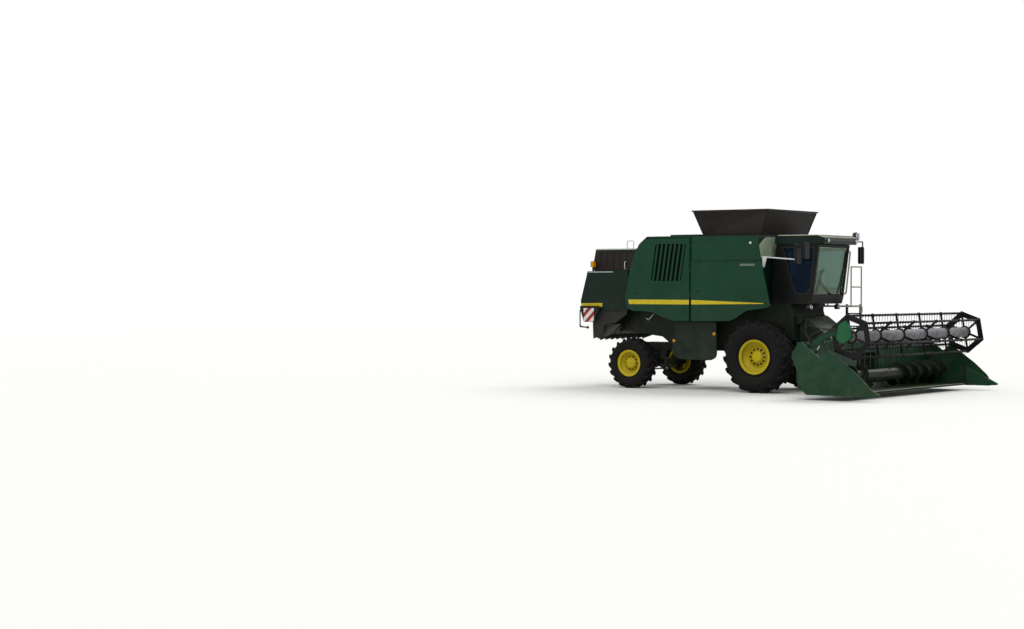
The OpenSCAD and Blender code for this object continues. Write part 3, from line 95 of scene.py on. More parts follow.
camera_data = bpy.data.cameras.new("camera")
camera_data.sensor_width = sensor_mm
camera_data.lens = focal_px / photo_width_px * sensor_mm
camera = put("camera", camera_data)
level_right = camera_forward.cross(Vector((0, 0, 1))).normalized()
level_up = level_right.cross(camera_forward)
right = level_right * math.cos(camera_roll) + level_up * math.sin(camera_roll)
up = right.cross(camera_forward)
turn = Matrix((right, up, -camera_forward)).transposed().to_4x4()
camera.matrix_world = Matrix.Translation(camera_place) @ turn
camera_data.clip_end = far_limit
bpy.context.scene.camera = camera
print("lens", round(camera_data.lens, 1), "mm")

# %% [markdown]
# Colours are written as sRGB hex values, the way a paint chart gives them, and one function
# turns them to the linear numbers that a shader takes. A second small function adds a node,
# sets it and links it, so that a material below reads as a list of what it is made of.

# %% Colour and node helpers
def linear(hex_colour):
    channels = [int(hex_colour[i:i + 2], 16) / 255 for i in (1, 3, 5)]
    return (*[c / 12.92 if c <= 0.04045 else ((c + 0.055) / 1.055) ** 2.4 for c in channels], 1.0)


def add(tree, kind, settings=None, inputs=None, links=None):
    """Adds a node. settings are its own fields, inputs its socket values, links its incoming sockets."""
    node = tree.nodes.new(kind)
    for key, value in (settings or {}).items():
        setattr(node, key, value)
    for key, value in (inputs or {}).items():
        node.inputs[key].default_value = value
    for key, source in (links or {}).items():
        tree.links.new(source, node.inputs[key])
    return node


def new_material(name, **values):
    """A material with its shader's own sockets set, such as Roughness=0.4."""
    material = bpy.data.materials.new(name)
    material.use_nodes = True
    shader = material.node_tree.nodes["Principled BSDF"]
    for key, value in values.items():
        shader.inputs[key.replace("_", " ")].default_value = value
    return material, material.node_tree, shader


def per_metre(size_mm):
    """The scale of a pattern in object coordinates whose feature is size_mm across."""
    return 1000 / size_mm


def place_of(tree):
    return add(tree, "ShaderNodeTexCoord").outputs["Object"]


def noise(tree, size_mm, detail, roughness=0.55):
    values = {"Scale": per_metre(size_mm), "Detail": detail, "Roughness": roughness}
    return add(tree, "ShaderNodeTexNoise", inputs=values, links={"Vector": place_of(tree)}).outputs["Fac"]


def ramp(tree, source, low, high):
    """Stretches a value so that low becomes 0 and high becomes 1, with both ends clamped."""
    return add(tree, "ShaderNodeMapRange", inputs={"From Min": low, "From Max": high},
               links={"Value": source}).outputs[0]


def between(tree, source, low, high):
    """Spreads a value of 0 to 1 from low to high."""
    return add(tree, "ShaderNodeMapRange", inputs={"To Min": low, "To Max": high}, links={"Value": source}).outputs[0]


def along(tree, vector, axis):
    return add(tree, "ShaderNodeSeparateXYZ", links={"Vector": vector}).outputs[axis]


def normal_of(tree):
    return add(tree, "ShaderNodeNewGeometry").outputs["Normal"]


def drive(tree, shader, **sources):
    """Links sources to the shader's own sockets, such as Roughness=value."""
    for key, source in sources.items():
        tree.links.new(source, shader.inputs[key.replace("_", " ")])


def mixed(tree, factor, a, b):
    """A colour that goes from a to b with factor. a and b are hex values or colour sockets."""
    node = add(tree, "ShaderNodeMix", {"data_type": "RGBA"}, links={"Factor": factor})
    for socket, colour in ((node.inputs[6], a), (node.inputs[7], b)):
        if isinstance(colour, str):
            socket.default_value = linear(colour)
        else:
            tree.links.new(colour, socket)
    return node.outputs[2]


def bumped(tree, shader, height, distance_mm):
    bump = add(tree, "ShaderNodeBump", inputs={"Strength": 1.0, "Distance": distance_mm / 1000},
               links={"Height": height})
    drive(tree, shader, Normal=bump.outputs["Normal"])


# %% [markdown]
# Straw dust lies on everything on a working combine. It is thickest low down and on faces that
# look up, and it comes in soft patches a hand's width across. On faces that look up the same pale
# share is also a painted highlight: the tops are made lighter as if light fell on them. This function
# gives that share from height, from the face's own direction and from a slow noise.

# %% Dust
straw_dust = "#9b8763"
# How much faces that look up add: dust, and with it a painted highlight on the tops.
top_dust_and_highlight = 0.2


def dust_share(tree, low, high, top_m=2.6):
    """How dusty a point is, from 0 to 1: more near the ground and on faces that look up, where it is also a painted
    highlight.
    """
    values = {"From Min": top_m, "From Max": 0.0, "To Min": low, "To Max": high}
    lowness = add(tree, "ShaderNodeMapRange", inputs=values, links={"Value": along(tree, place_of(tree), "Z")})
    # Faces that look up: dust, and a painted highlight on the tops.
    facing_up_dust_and_highlight = ramp(tree, along(tree, normal_of(tree), "Z"), 0.3, 1.0)
    ledge = add(tree, "ShaderNodeMath", {"operation": "MULTIPLY_ADD", "use_clamp": True}, {1: top_dust_and_highlight},
                {0: facing_up_dust_and_highlight, 2: lowness.outputs[0]})
    patches = ramp(tree, noise(tree, 420, 7.0, 0.66), 0.34, 0.86)
    return add(tree, "ShaderNodeMath", {"operation": "MULTIPLY", "use_clamp": True},
               links={0: ledge.outputs[0], 1: patches}).outputs[0]


# %% [markdown]
# Agricultural enamel is a thick two-pack paint sprayed on sheet steel. A typical IOR is 1.5 and
# its roughness when new is about 0.2; sun and straw take it to 0.4. The spray leaves orange
# peel with bumps of 2 to 4 mm, which is drawn at 12 mm so that it shows at this distance.
# Large thin sheets are never quite flat, so a second wave half a metre long makes the
# reflections waver. The photograph is taken against the light, so the paint is kept dark and
# its gloss low: the white surroundings would otherwise wash it out.

# %% Enamel paints
def enamel(name, paint, faded, roughness, dust_low=0.01, dust_high=0.14):
    """Sprayed paint that fades in patches. Dust covers it and makes it duller."""
    material, tree, shader = new_material(name, IOR=1.5, Specular_IOR_Level=0.1, Coat_Weight=0.02, Coat_Roughness=0.2)
    fade = ramp(tree, noise(tree, 700, 3.0), 0.35, 0.75)
    dust = dust_share(tree, dust_low, dust_high)
    drive(tree, shader, Base_Color=mixed(tree, dust, mixed(tree, fade, paint, faded), straw_dust),
          Roughness=between(tree, dust, roughness, 0.85))
    peel = add(tree, "ShaderNodeMath", {"operation": "MULTIPLY_ADD"}, {1: 6.0},
               {0: noise(tree, 520, 1.0), 2: noise(tree, 12, 2.0)})
    bumped(tree, shader, peel.outputs[0], 0.35)
    return material


green_enamel = enamel("green sprayed enamel", "#0a3220", "#0e3926", 0.3)
dark_enamel = enamel("dark green sprayed enamel", "#071a13", "#0b2119", 0.38)
yellow_enamel = enamel("yellow sprayed enamel", "#b09e0c", "#a08f10", 0.34)
# This pale olive grey is painted sunlight: it is the dark paint where light falls on it.
sunlit_olive_enamel = enamel("olive grey enamel as painted sunlight", "#8b9682", "#7f8a76", 0.45)
black_enamel = enamel("black satin enamel", "#0a0c0c", "#111414", 0.42)
# This near black brown grey is grey steel darkened as painted shade, with a brown cast of painted light bounced from
# the ground.
shaded_grey_enamel = enamel("grey enamel with painted shade", "#201c1a", "#282421", 0.55)
chassis_enamel = enamel("dark green chassis enamel", "#081612", "#0d1d17", 0.5, 0.02, 0.2)
# A brighter copy of the green, as painted sunlight on the reel's drive cover.
sunlit_cover_enamel = enamel("drive cover green brightened as painted sunlight", "#0f4f2f", "#145c38", 0.28)

# %% [markdown]
# Rubber is nearly black, and matt. Dried soil lies in the roots of the tyres' lugs. Hoses and
# seals are a smoother rubber with slow patches of a second tone.

# %% Rubber
def tyre_rubber(name):
    """Carbon black rubber: very dark, rough about 0.8, IOR 1.52, with dried soil in the lug roots."""
    material, tree, shader = new_material(name, IOR=1.52, Specular_IOR_Level=0.12)
    soil = dust_share(tree, 0.02, 0.3, 1.6)
    drive(tree, shader, Base_Color=mixed(tree, soil, "#0b0b0c", "#3a342b"), Roughness=between(tree, soil, 0.72, 0.95))
    bumped(tree, shader, noise(tree, 8, 3.0), 0.6)
    return material


tyre = tyre_rubber("moulded tyre rubber")


def grained(name, tone, worn, roughness, size_mm, metallic=0.0):
    """A smooth finish with slow patches of a second tone and a fine grain in its surface."""
    material, tree, shader = new_material(name, IOR=1.5, Specular_IOR_Level=0.25, Metallic=metallic)
    patches = ramp(tree, noise(tree, size_mm * 12, 5.0), 0.35, 0.7)
    drive(tree, shader, Base_Color=mixed(tree, patches, tone, worn),
          Roughness=between(tree, patches, roughness, min(roughness + 0.15, 1.0)))
    bumped(tree, shader, noise(tree, size_mm, 2.0), 0.1)
    return material


hose_rubber = grained("hose rubber", "#131313", "#211f1c", 0.55, 5)
seal_rubber = grained("black extruded seal rubber", "#0f1011", "#1a1b1b", 0.6, 4)

# %% [markdown]
# Zinc on sheet steel crystallises into spangles some 10 mm across that differ a little in
# brightness. A Voronoi pattern gives each spangle a tone of its own. Bare working steel, such
# as the ram rods and the knife, is polished by its work to a roughness of about 0.25.

# %% Metals
dark_spangle, light_spangle = "#8f9494", "#aeb3b2"


def spangled_zinc(name):
    """Galvanised sheet in spangles, under straw dust."""
    material, tree, shader = new_material(name, Metallic=0.85)
    cells = add(tree, "ShaderNodeTexVoronoi", inputs={"Scale": per_metre(14)}, links={"Vector": place_of(tree)})
    tone = add(tree, "ShaderNodeSeparateColor", links={"Color": cells.outputs["Color"]}).outputs[0]
    clean = mixed(tree, tone, dark_spangle, light_spangle)
    drive(tree, shader, Base_Color=mixed(tree, dust_share(tree, 0.1, 0.7), clean, straw_dust),
          Roughness=between(tree, tone, 0.38, 0.55))
    return material


def worked_steel(name, hex_colour, roughness):
    """Bare steel worn bright, with scratches in patches 40 mm across."""
    material, tree, shader = new_material(name, Metallic=1.0, Base_Color=linear(hex_colour))
    drive(tree, shader, Roughness=between(tree, noise(tree, 40, 8.0, 0.8), roughness, roughness + 0.2))
    return material


zinc = spangled_zinc("hot dip galvanised sheet")
bright_steel = worked_steel("bright worked steel", "#c3c5c6", 0.22)
bolt_zinc = worked_steel("zinc plated bolt steel", "#9fa3a5", 0.35)
engine_iron = grained("grey engine iron", "#3c3e3e", "#4f4a42", 0.6, 20, 0.3)

# %% [markdown]
# Cab glass is 6 to 8 mm thick, IOR 1.52, and tinted to hold back the sun. Thin glass whose
# two faces are both modelled bends light very little, so its transmission is left full. The
# tint sits in the base colour, and in the reflection too, so that the white surroundings don't
# wash it out. The side panes read deep blue, which is a painted reflection, and the windscreen green.

# %% Glass and plastics
def glazing(name, tint, sideways_painted_reflection, transmission=1.0, roughness=0.02):
    """Tinted glass: one tint for panes that face forward, and another, which is a painted reflection, for those that
    face sideways.
    """
    material, tree, shader = new_material(name, IOR=1.52, Specular_IOR_Level=0.15, Transmission_Weight=transmission)
    sideways = add(tree, "ShaderNodeMath", {"operation": "ABSOLUTE"}, links={0: along(tree, normal_of(tree), "Y")})
    coloured = mixed(tree, ramp(tree, sideways.outputs[0], 0.4, 0.8), tint, sideways_painted_reflection)
    film = between(tree, noise(tree, 90, 6.0), roughness, roughness + 0.06)
    drive(tree, shader, Base_Color=coloured, Specular_Tint=coloured, Roughness=film)
    return material


# The blue of the side panes is a painted reflection.
cab_glazing = glazing("tinted cab glass", "#86b98c", "#41607f")
clear_lens = glazing("clear lamp lens", "#eef3f5", "#eef3f5", 0.9, 0.05)
amber_lens = glazing("amber moulded lens", "#e07a10", "#e0a018", 0.35, 0.12)
red_lens = glazing("red moulded lens", "#b01613", "#b01613", 0.35, 0.12)
black_plastic, plastic_tree, plastic_shader = new_material("black moulded plastic", Base_Color=linear("#1c1d1f"),
                                                           Roughness=0.5, IOR=1.46)
bumped(plastic_tree, plastic_shader, noise(plastic_tree, 3, 2.0), 0.2)
lamp_plastic = grained("lamp housing plastic", "#222325", "#303133", 0.4, 3)
mirror_glass = grained("silvered mirror glass", "#e6eaec", "#d5dadc", 0.02, 8, 1.0)
# The next enamel is near white, as painted sunlight on thin rails and fittings.
sunlit_pale_enamel = grained("pale grey enamel as painted sunlight", "#c9ccc8", "#b4b5ae", 0.4, 6)
# Cream enamel as a painted highlight along the roof's edge.
gutter_highlight_enamel = grained("cream enamel as painted highlight", "#b5b39c", "#98967f", 0.45, 6)
white_sheet = grained("white reflective sheet", "#cdcdc8", "#b9b8b0", 0.35, 5)
red_sheet = grained("red reflective sheet", "#8f1a17", "#7a1814", 0.35, 5)
stripe_yellow = grained("yellow adhesive film", "#c0aa12", "#ac9814", 0.3, 6)
coil_steel = grained("dark oiled spring steel", "#1d1e1f", "#2a2a29", 0.45, 4, 0.6)


def woven_cloth(name, hex_colour):
    """Seat cloth with a weave drawn at 6 mm, and sheen from its nap."""
    material, tree, shader = new_material(name, Base_Color=linear(hex_colour), Roughness=0.9, Sheen_Weight=0.4)
    threads = [add(tree, "ShaderNodeTexWave", {"bands_direction": way}, {"Scale": per_metre(6) / 6.283},
                   {"Vector": place_of(tree)}).outputs["Fac"] for way in "XZ"]
    weave = add(tree, "ShaderNodeMath", {"operation": "ADD"}, links={0: threads[0], 1: threads[1]})
    bumped(tree, shader, weave.outputs[0], 0.5)
    return material


seat_cloth = woven_cloth("woven seat cloth", "#4b4d50")

# %% [markdown]
# The reel is one piece, but its centre tube is worn to pale grey while its bars stay black. The
# paint is therefore chosen by the distance from the reel's axis.

# %% Reel paint
reel_axis = Vector((3.51 + front_axle_x, 0, 1.51))
tube_radius = 0.13


def reel_paint(name):
    """Black outside the centre tube's radius, scuffed grey inside it."""
    material, tree, shader = new_material(name, IOR=1.5, Specular_IOR_Level=0.15)
    ahead, above = [add(tree, "ShaderNodeMath", {"operation": "SUBTRACT"}, {1: middle},
                        {0: along(tree, place_of(tree), axis)}).outputs[0]
                    for axis, middle in (("X", reel_axis.x), ("Z", reel_axis.z))]
    across = add(tree, "ShaderNodeCombineXYZ", links={"X": ahead, "Y": above}).outputs[0]
    distance = add(tree, "ShaderNodeVectorMath", {"operation": "LENGTH"}, links={0: across}).outputs["Value"]
    scuffed = mixed(tree, ramp(tree, noise(tree, 160, 6.0), 0.4, 0.65), "#77757a", "#5a585c")
    outside = ramp(tree, distance, tube_radius + 0.001, tube_radius + 0.003)
    drive(tree, shader, Base_Color=mixed(tree, outside, scuffed, "#0b0c0c"), Roughness=between(tree, outside, 0.5, 0.4))
    bumped(tree, shader, noise(tree, 15, 3.0), 0.2)
    return material


reel_enamel = reel_paint("black enamel worn pale on the tube")

# %% [markdown]
# The grain tank is near black outside, as painted shade on its rim between the side panel and
# the extension, and bare zinc inside. Its outer faces look away from the middle of the tank, and
# its inner faces look towards it, which is how the two are told apart.

# %% Grain tank sheet
def shaded_outside(name, paint):
    """Zinc under dust where a face looks to the tank's middle, and near black painted shade where it looks away."""
    material, tree, shader = new_material(name, Specular_IOR_Level=0.2)
    low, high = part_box("grain_tank")
    from_middle = add(tree, "ShaderNodeVectorMath", {"operation": "SUBTRACT"}, {1: (low + high) / 2},
                      {0: place_of(tree)}).outputs[0]
    outward = add(tree, "ShaderNodeVectorMath", {"operation": "DOT_PRODUCT"},
                  links={0: from_middle, 1: normal_of(tree)}).outputs["Value"]
    outside = ramp(tree, outward, -0.01, 0.01)
    spangle = mixed(tree, ramp(tree, noise(tree, 14, 1.0), 0.4, 0.6), dark_spangle, light_spangle)
    dusty = mixed(tree, dust_share(tree, 0.3, 0.8, 5.0), spangle, straw_dust)
    drive(tree, shader, Base_Color=mixed(tree, outside, dusty, paint), Metallic=between(tree, outside, 0.8, 0.0),
          Roughness=between(tree, outside, 0.5, 0.4))
    return material


# Near black outside, as painted shade.
tank_sheet = shaded_outside("zinc tank sheet darkened outside as painted shade", "#071a13")

# %% [markdown]
# Each node of the frame wears the finish of its slot, apart from a few that the photograph
# shows in another tone. The count printed at the end shows that none was forgotten.

# %% Finishes on the frame's nodes
wears = {entry["node"]: entry["material_slot"] for entry in frame["record"]["subparts"]}
finishes = {
    "green_paint": green_enamel, "dark_green_paint": dark_enamel, "yellow_paint": yellow_enamel,
    "tyre_rubber": tyre, "black_steel": black_enamel, "chassis_paint": chassis_enamel,
    "galvanised_sheet": zinc, "olive_paint": sunlit_olive_enamel, "bright_steel": bright_steel,
    "cab_glazing": cab_glazing, "black_plastic": black_plastic, "seat_cloth": seat_cloth,
    "lamp_plastic": lamp_plastic, "engine_iron": engine_iron, "hose_rubber": hose_rubber,
}
# The tank extension and the air box wear the brown grey of painted shade.
special = {
    # The cab roof wears the near black dark enamel as painted shade.
    "tank_extension": shaded_grey_enamel, "air_box": shaded_grey_enamel, "cab_roof": dark_enamel, "reel": reel_enamel,
    # The platform wears pale olive as painted sunlight on its rails.
    "grain_tank": tank_sheet, "feeder_house": dark_enamel, "platform": sunlit_olive_enamel,
}
for name, node in nodes.items():
    node.data.materials.clear()
    node.data.materials.append(special.get(name, finishes[wears[name]]))
print("dressed", len(nodes), "nodes in", len(set(wears.values())), "finishes")

# %% [markdown]
# A folded or cut sheet edge is never sharp, and the thin line of light along it is what makes
# it read as steel. Each painted node gets that edge from a small bevel.

# %% Folded edges
weld_m, fold_m, sharp_deg = 0.0002, 0.006, 35
softened = [
    "threshing_body", "tank_panels", "engine_hood", "air_box", "straw_hood", "cab_shell", "cab_roof", "cab_door",
    "front_fairing", "side_panel_right", "side_panel_left", "engine_panel_right", "engine_panel_left", "lower_shields",
    "feeder_house", "reel_arms", "header_frame", "tank_extension", "mirrors",
]
for name in softened:
    weld = nodes[name].modifiers.new("weld", "WELD")
    weld.merge_threshold = weld_m
    edge = nodes[name].modifiers.new("edge", "BEVEL")
    edge.width = fold_m
    edge.segments = 2
    edge.limit_method = "ANGLE"
    edge.angle_limit = math.radians(sharp_deg)
    edge.harden_normals = True
print("softened", len(softened), "nodes")

# %% [markdown]
# Everything added from here on is a small part on a larger one. Each helper makes one kind of
# shape as a mesh, and `piece` gives it a name, a finish and the body that carries it. Places
# are written in metres forward of the front axle, left of the centre line, and up.

# %% Shape helpers
def at(x, y, z):
    return Vector((x + front_axle_x, y, z))


def piece(name, shape, material, body):
    """Makes an object of a bmesh, in the given finish, carried by a body of the frame."""
    mesh = bpy.data.meshes.new(name)
    shape.to_mesh(mesh)
    shape.free()
    mesh.materials.append(material)
    made = put(name, mesh)
    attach(made, body)
    return made


def prism(shape, outline, depth):
    """Adds a closed solid to shape: the outline's points, and the same points moved by depth."""
    low = [shape.verts.new(p) for p in outline]
    high = [shape.verts.new(Vector(p) + Vector(depth)) for p in outline]
    count = len(low)
    made = [shape.faces.new(low), shape.faces.new(high[::-1])]
    made += [shape.faces.new((low[i], high[i], high[(i + 1) % count], low[(i + 1) % count])) for i in range(count)]
    bmesh.ops.recalc_face_normals(shape, faces=made)
    return made


def block(shape, low, high, bevel=0.0):
    """Adds a box between two corners, with its edges rounded by bevel metres."""
    x0, y0, z0 = (min(a, b) for a, b in zip(low, high))
    x1, y1, z1 = (max(a, b) for a, b in zip(low, high))
    made = prism(shape, [(x0, y0, z0), (x1, y0, z0), (x1, y1, z0), (x0, y1, z0)], (0, 0, z1 - z0))
    if bevel:
        edges = list({edge for face in made for edge in face.edges})
        bmesh.ops.bevel(shape, geom=edges, offset=bevel, segments=2, profile=0.5, affect="EDGES")


def on_plane(y, outline):
    """Points (x, z) from the front axle as places on the plane y."""
    return [at(x, y, z) for x, z in outline]


def facing(axis):
    """A rotation that turns local Z to an axis."""
    return Vector(axis).normalized().to_track_quat("Z", "Y").to_matrix().to_4x4()


def lathe(shape, profile, centre, axis, sides):
    """Turns a profile of (radius, height) points round an axis through centre, and adds it to shape."""
    turn = Matrix.Translation(centre) @ facing(axis)
    rings = []
    for radius, height in profile:
        count = sides if radius > 1e-6 else 1
        rings.append([shape.verts.new(turn @ Vector((radius * math.cos(a), radius * math.sin(a), height)))
                      for a in [i * math.tau / count for i in range(count)]])
    made = []
    for a, b in zip(rings, rings[1:]):
        for i in range(sides):
            corners = [a[i % len(a)], a[(i + 1) % len(a)], b[(i + 1) % len(b)], b[i % len(b)]]
            corners = list(dict.fromkeys(corners))
            if len(corners) > 2:
                made.append(shape.faces.new(corners))
    bmesh.ops.recalc_face_normals(shape, faces=made)
    for face in made:
        face.smooth = sides > 8


def nut(shape, centre, axis, across, height):
    """A hexagon nut with its chamfered top and the bolt's end, standing on centre."""
    r = across / 2 / math.cos(math.pi / 6)
    lathe(shape, [(0, 0), (r, 0), (r, height * 0.85), (r * 0.86, height), (0, height)], centre, axis, 6)
    end = height * 1.3
    lathe(shape, [(0, height), (across * 0.3, height), (across * 0.26, end), (0, end)], centre, axis, 10)


def rod(name, points, radius, material, body, smooth=True):
    """A round rod, pipe or cable through points, bent smoothly or with sharp corners."""
    curve = bpy.data.curves.new(name, "CURVE")
    curve.dimensions = "3D"
    curve.bevel_depth = radius
    curve.bevel_resolution = 3
    curve.resolution_u = 6
    curve.use_fill_caps = True
    line = curve.splines.new("BEZIER" if smooth else "POLY")
    if smooth:
        line.bezier_points.add(len(points) - 1)
        for knot, p in zip(line.bezier_points, points):
            knot.co = p
            knot.handle_left_type = knot.handle_right_type = "AUTO"
    else:
        line.points.add(len(points) - 1)
        for knot, p in zip(line.points, points):
            knot.co = (*p, 1)
    curve.materials.append(material)
    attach(put(name, curve), body)


def softly(before, here, after, steps=4):
    """A short curve round a corner, from two vectors that lead away from it."""
    return [here + (1 - t) ** 2 * before + t * t * after for t in [i / steps for i in range(steps + 1)]]


def bent(points, radius):
    """The same path with each corner rounded to a bend of that radius."""
    path = [Vector(points[0])]
    for a, b, c in zip(points, points[1:], points[2:]):
        b = Vector(b)
        path += softly((Vector(a) - b).normalized() * radius, b, (Vector(c) - b).normalized() * radius)
    return path + [Vector(points[-1])]


def corners_of(outline):
    """Each point of a closed outline between the one before it and the one after it."""
    return zip(outline[-1:] + outline[:-1], outline, outline[1:] + outline[:1])


def rounded(outline, reach):
    """A closed outline of (a, b) points with each corner turned into a short curve."""
    path = []
    for before, here, after in corners_of(outline):
        here, before, after = Vector(here), Vector(before) - Vector(here), Vector(after) - Vector(here)
        before *= min(reach, before.length * 0.45) / before.length
        after *= min(reach, after.length * 0.45) / after.length
        path += softly(before, here, after)
    return path


def cut(name, outline, depth, material, body):
    """A piece that is one prism, such as a film or a plate."""
    shape = bmesh.new()
    prism(shape, outline, depth)
    return piece(name, shape, material, body)


def turned(name, profile, centre, axis, facets, material, body):
    """A piece that is one turned profile."""
    shape = bmesh.new()
    lathe(shape, profile, centre, axis, facets)
    return piece(name, shape, material, body)


sides = (("right", -1), ("left", 1))
print("helpers ready")

# %% [markdown]
# The yellow stripe is adhesive film, a quarter of a millimetre thick on the real machine. It
# is made 1.5 mm thick here so that it never flickers into the paint. It is cut at the seam
# between two panels, because each panel lifts on its own. It carries no lettering.

# %% Stripes
panel_face, hood_face, shield_face = 1.5, 1.3, 1.32
seam_x, seam_gap = -1.955, 0.035
behind_seam, ahead_of_seam = seam_x - seam_gap, seam_x + seam_gap
stripe_low, stripe_high, film_m = 2.22, 2.34, 0.0015
for side, s in sides:
    for place, face, body, outline in (
            ("rear", panel_face, f"panel_rear_{side}", [(-3.83, stripe_low), (behind_seam, stripe_low),
                                                        (behind_seam, stripe_high), (-3.85, stripe_high)]),
            ("front", panel_face, f"panel_front_{side}", [(ahead_of_seam, stripe_low), (0.19, 2.25), (0.19, 2.27),
                                                          (ahead_of_seam, stripe_high)]),
            ("hood", hood_face, "chassis", [(-5.47, 2.13), (-4.81, 2.14), (-4.81, 2.24), (-5.485, 2.23)])):
        cut(f"stripe_{place}_{side}", on_plane(s * face, outline), (0, s * film_m, 0), stripe_yellow, body)
print("stripes on both sides")

# %% [markdown]
# Big sheet panels are closed by quarter-turn latches and carry a recessed grip. Each latch is a
# round escutcheon with a barrel in it. Small domed rivets follow the panel's edge.

# %% Latches, grips and rivets
def latch(shape, centre, side):
    for profile, facets in (
            ([(0.045, 0), (0.045, 0.004), (0.03, 0.012), (0.022, 0.012), (0.02, 0.004), (0, 0.004)], 24),
            ([(0.018, 0.002), (0.018, 0.014), (0.015, 0.017), (0, 0.017)], 20)):
        lathe(shape, profile, centre, (0, side, 0), facets)


def grip(name, x, z, side, width, height, body):
    """A moulded grip: a raised frame round a hollow, with a bar across it."""
    y, rim, out = side * panel_face, 0.012, side * 0.014
    shape = bmesh.new()
    for z0 in (z, z + height - rim):
        block(shape, at(x, y, z0), at(x + width, y + out, z0 + rim), 0.004)
    for x0 in (x, x + width - rim):
        block(shape, at(x0, y, z), at(x0 + rim, y + out, z + height), 0.004)
    block(shape, at(x, y + side * 0.002, z + height * 0.45), at(x + width, y + side * 0.02, z + height * 0.62), 0.004)
    piece(name, shape, sunlit_olive_enamel, body)


def rivets(shape, points, y, pitch=0.22, radius=0.009):
    """Domed rivets along a run of (x, z) points, at a steady pitch, standing on the plane y."""
    out = math.copysign(1, y)
    for a, b in zip(points, points[1:]):
        a, b = Vector(a), Vector(b)
        count = max(1, round((b - a).length / pitch))
        for i in range(count):
            x, z = a.lerp(b, (i + 0.5) / count)
            dome = [(radius, 0), (radius * 0.8, 0.004), (radius * 0.4, 0.006), (0, 0.0065)]
            lathe(shape, dome, at(x, y, z), (0, out, 0), 10)


for side, s in sides:
    for place, spots in (("rear", ((-3.62, 2.52), (-3.62, 2.14), (-2.12, 2.05))),
                         ("front", ((-1.72, 2.05), (-0.4, 2.42), (-1.72, 2.6)))):
        shape = bmesh.new()
        for x, z in spots:
            latch(shape, at(x, s * panel_face, z), s)
        piece(f"latches_{place}_{side}", shape, green_enamel, f"panel_{place}_{side}")
    knob = [(0.03, 0), (0.034, 0.02), (0.03, 0.045), (0.018, 0.055), (0, 0.056)]
    # The knob is pale as painted sunlight.
    turned(f"knob_{side}", knob, at(-0.17, s * panel_face, 3.79), (0, s, 0), 24, sunlit_pale_enamel, "chassis")
    # The grip's pale olive is painted sunlight.
    grip(f"grip_{side}", -0.48, 3.21, s, 0.42, 0.05, f"panel_front_{side}")
    shape = bmesh.new()
    for face, run in ((hood_face, [(-5.25, 3.05), (-4.05, 3.07)]), (hood_face, [(-5.45, 2.3), (-5.27, 3.0)]),
                      (hood_face, [(-5.4, 2.16), (-4.6, 2.07)]), (shield_face, [(-2.5, 1.73), (-1.32, 1.73)]),
                      (shield_face, [(-1.31, 1.7), (-1.31, 0.98)])):
        rivets(shape, run, s * face)
    piece(f"rivets_{side}", shape, dark_enamel, "chassis")
print("latches, grips and rivets on both sides")

# %% [markdown]
# A reflector is a round lens with a raised rim and turned ribs, amber on the side shields and
# red at the tail. The warning boards at the back are slanted bands of white and red sheet.

# %% Reflectors and warning boards
def lens(name, centre, axis, radius, depth, material, ribs):
    """A round lens with a raised rim and turned ribs."""
    shape = bmesh.new()
    rim = [(radius, 0), (radius, depth * 0.5), (radius * 0.96, depth * 0.7), (radius * 0.9, depth * 0.7)]
    lathe(shape, rim, centre, axis, 32)
    profile = [(radius * 0.9, depth * 0.55)]
    for i in range(ribs):
        r = radius * 0.9 * (1 - (i + 0.5) / (ribs + 0.5))
        profile += [(r + radius * 0.03, depth * 0.62), (r, depth * (0.75 + 0.2 * i / ribs))]
    profile += [(radius * 0.3, depth * 0.95), (0, depth)]
    lathe(shape, profile, centre, axis, 32)
    piece(name, shape, material, "chassis")


def slanted_bands(x0, x1, z0, z1, band, first):
    """Slanted bands across a board, from x0 to x1, each cut to the board's lower and upper edge."""
    bands = []
    lean = z1 - z0
    count = math.ceil((x1 - x0 + lean) / band)
    for i in range(first, count, 2):
        foot = x0 - lean + i * band
        corners = [(foot, z0), (foot + band, z0), (foot + band + lean, z1), (foot + lean, z1)]
        for sign, limit in ((1, x0), (-1, x1)):
            kept = []
            for a, b in zip(corners, corners[1:] + corners[:1]):
                inside_a, inside_b = sign * (a[0] - limit) >= 0, sign * (b[0] - limit) >= 0
                if inside_a:
                    kept.append(a)
                if inside_a != inside_b:
                    t = (limit - a[0]) / (b[0] - a[0])
                    kept.append((limit, a[1] + t * (b[1] - a[1])))
            corners = kept
            if len(corners) < 3:
                break
        if len(corners) >= 3:
            bands.append(corners)
    return bands


board_face = 1.4101
for side, s in sides:
    for number, (x, z) in enumerate(((-1.34, 1.47), (-2.55, 1.27))):
        lens(f"shield_reflector_{side}_{number}", at(x, s * shield_face, z), (0, s, 0), 0.042, 0.012, amber_lens, 2)
    lens(f"tail_lens_{side}", at(-5.195, s * 1.44, 1.585), (0, s, 0), 0.034, 0.02, red_lens, 3)
    for colour, first, film in (("white", 0, white_sheet), ("red", 1, red_sheet)):
        shape = bmesh.new()
        for corners in slanted_bands(-5.34, -5.01, 1.74, 2.1, 0.13, first):
            prism(shape, on_plane(s * board_face, corners), (0, s * film_m, 0))
        piece(f"warning_board_{colour}_{side}", shape, film, "chassis")
print("reflectors and warning boards on both sides")

# %% [markdown]
# The cab's glass sits in black extruded rubber, 25 mm wide, which runs round each pane. It is
# made as a closed band of constant width inside the pane's outline. Corners are mitred by
# moving each edge inward along its normal.

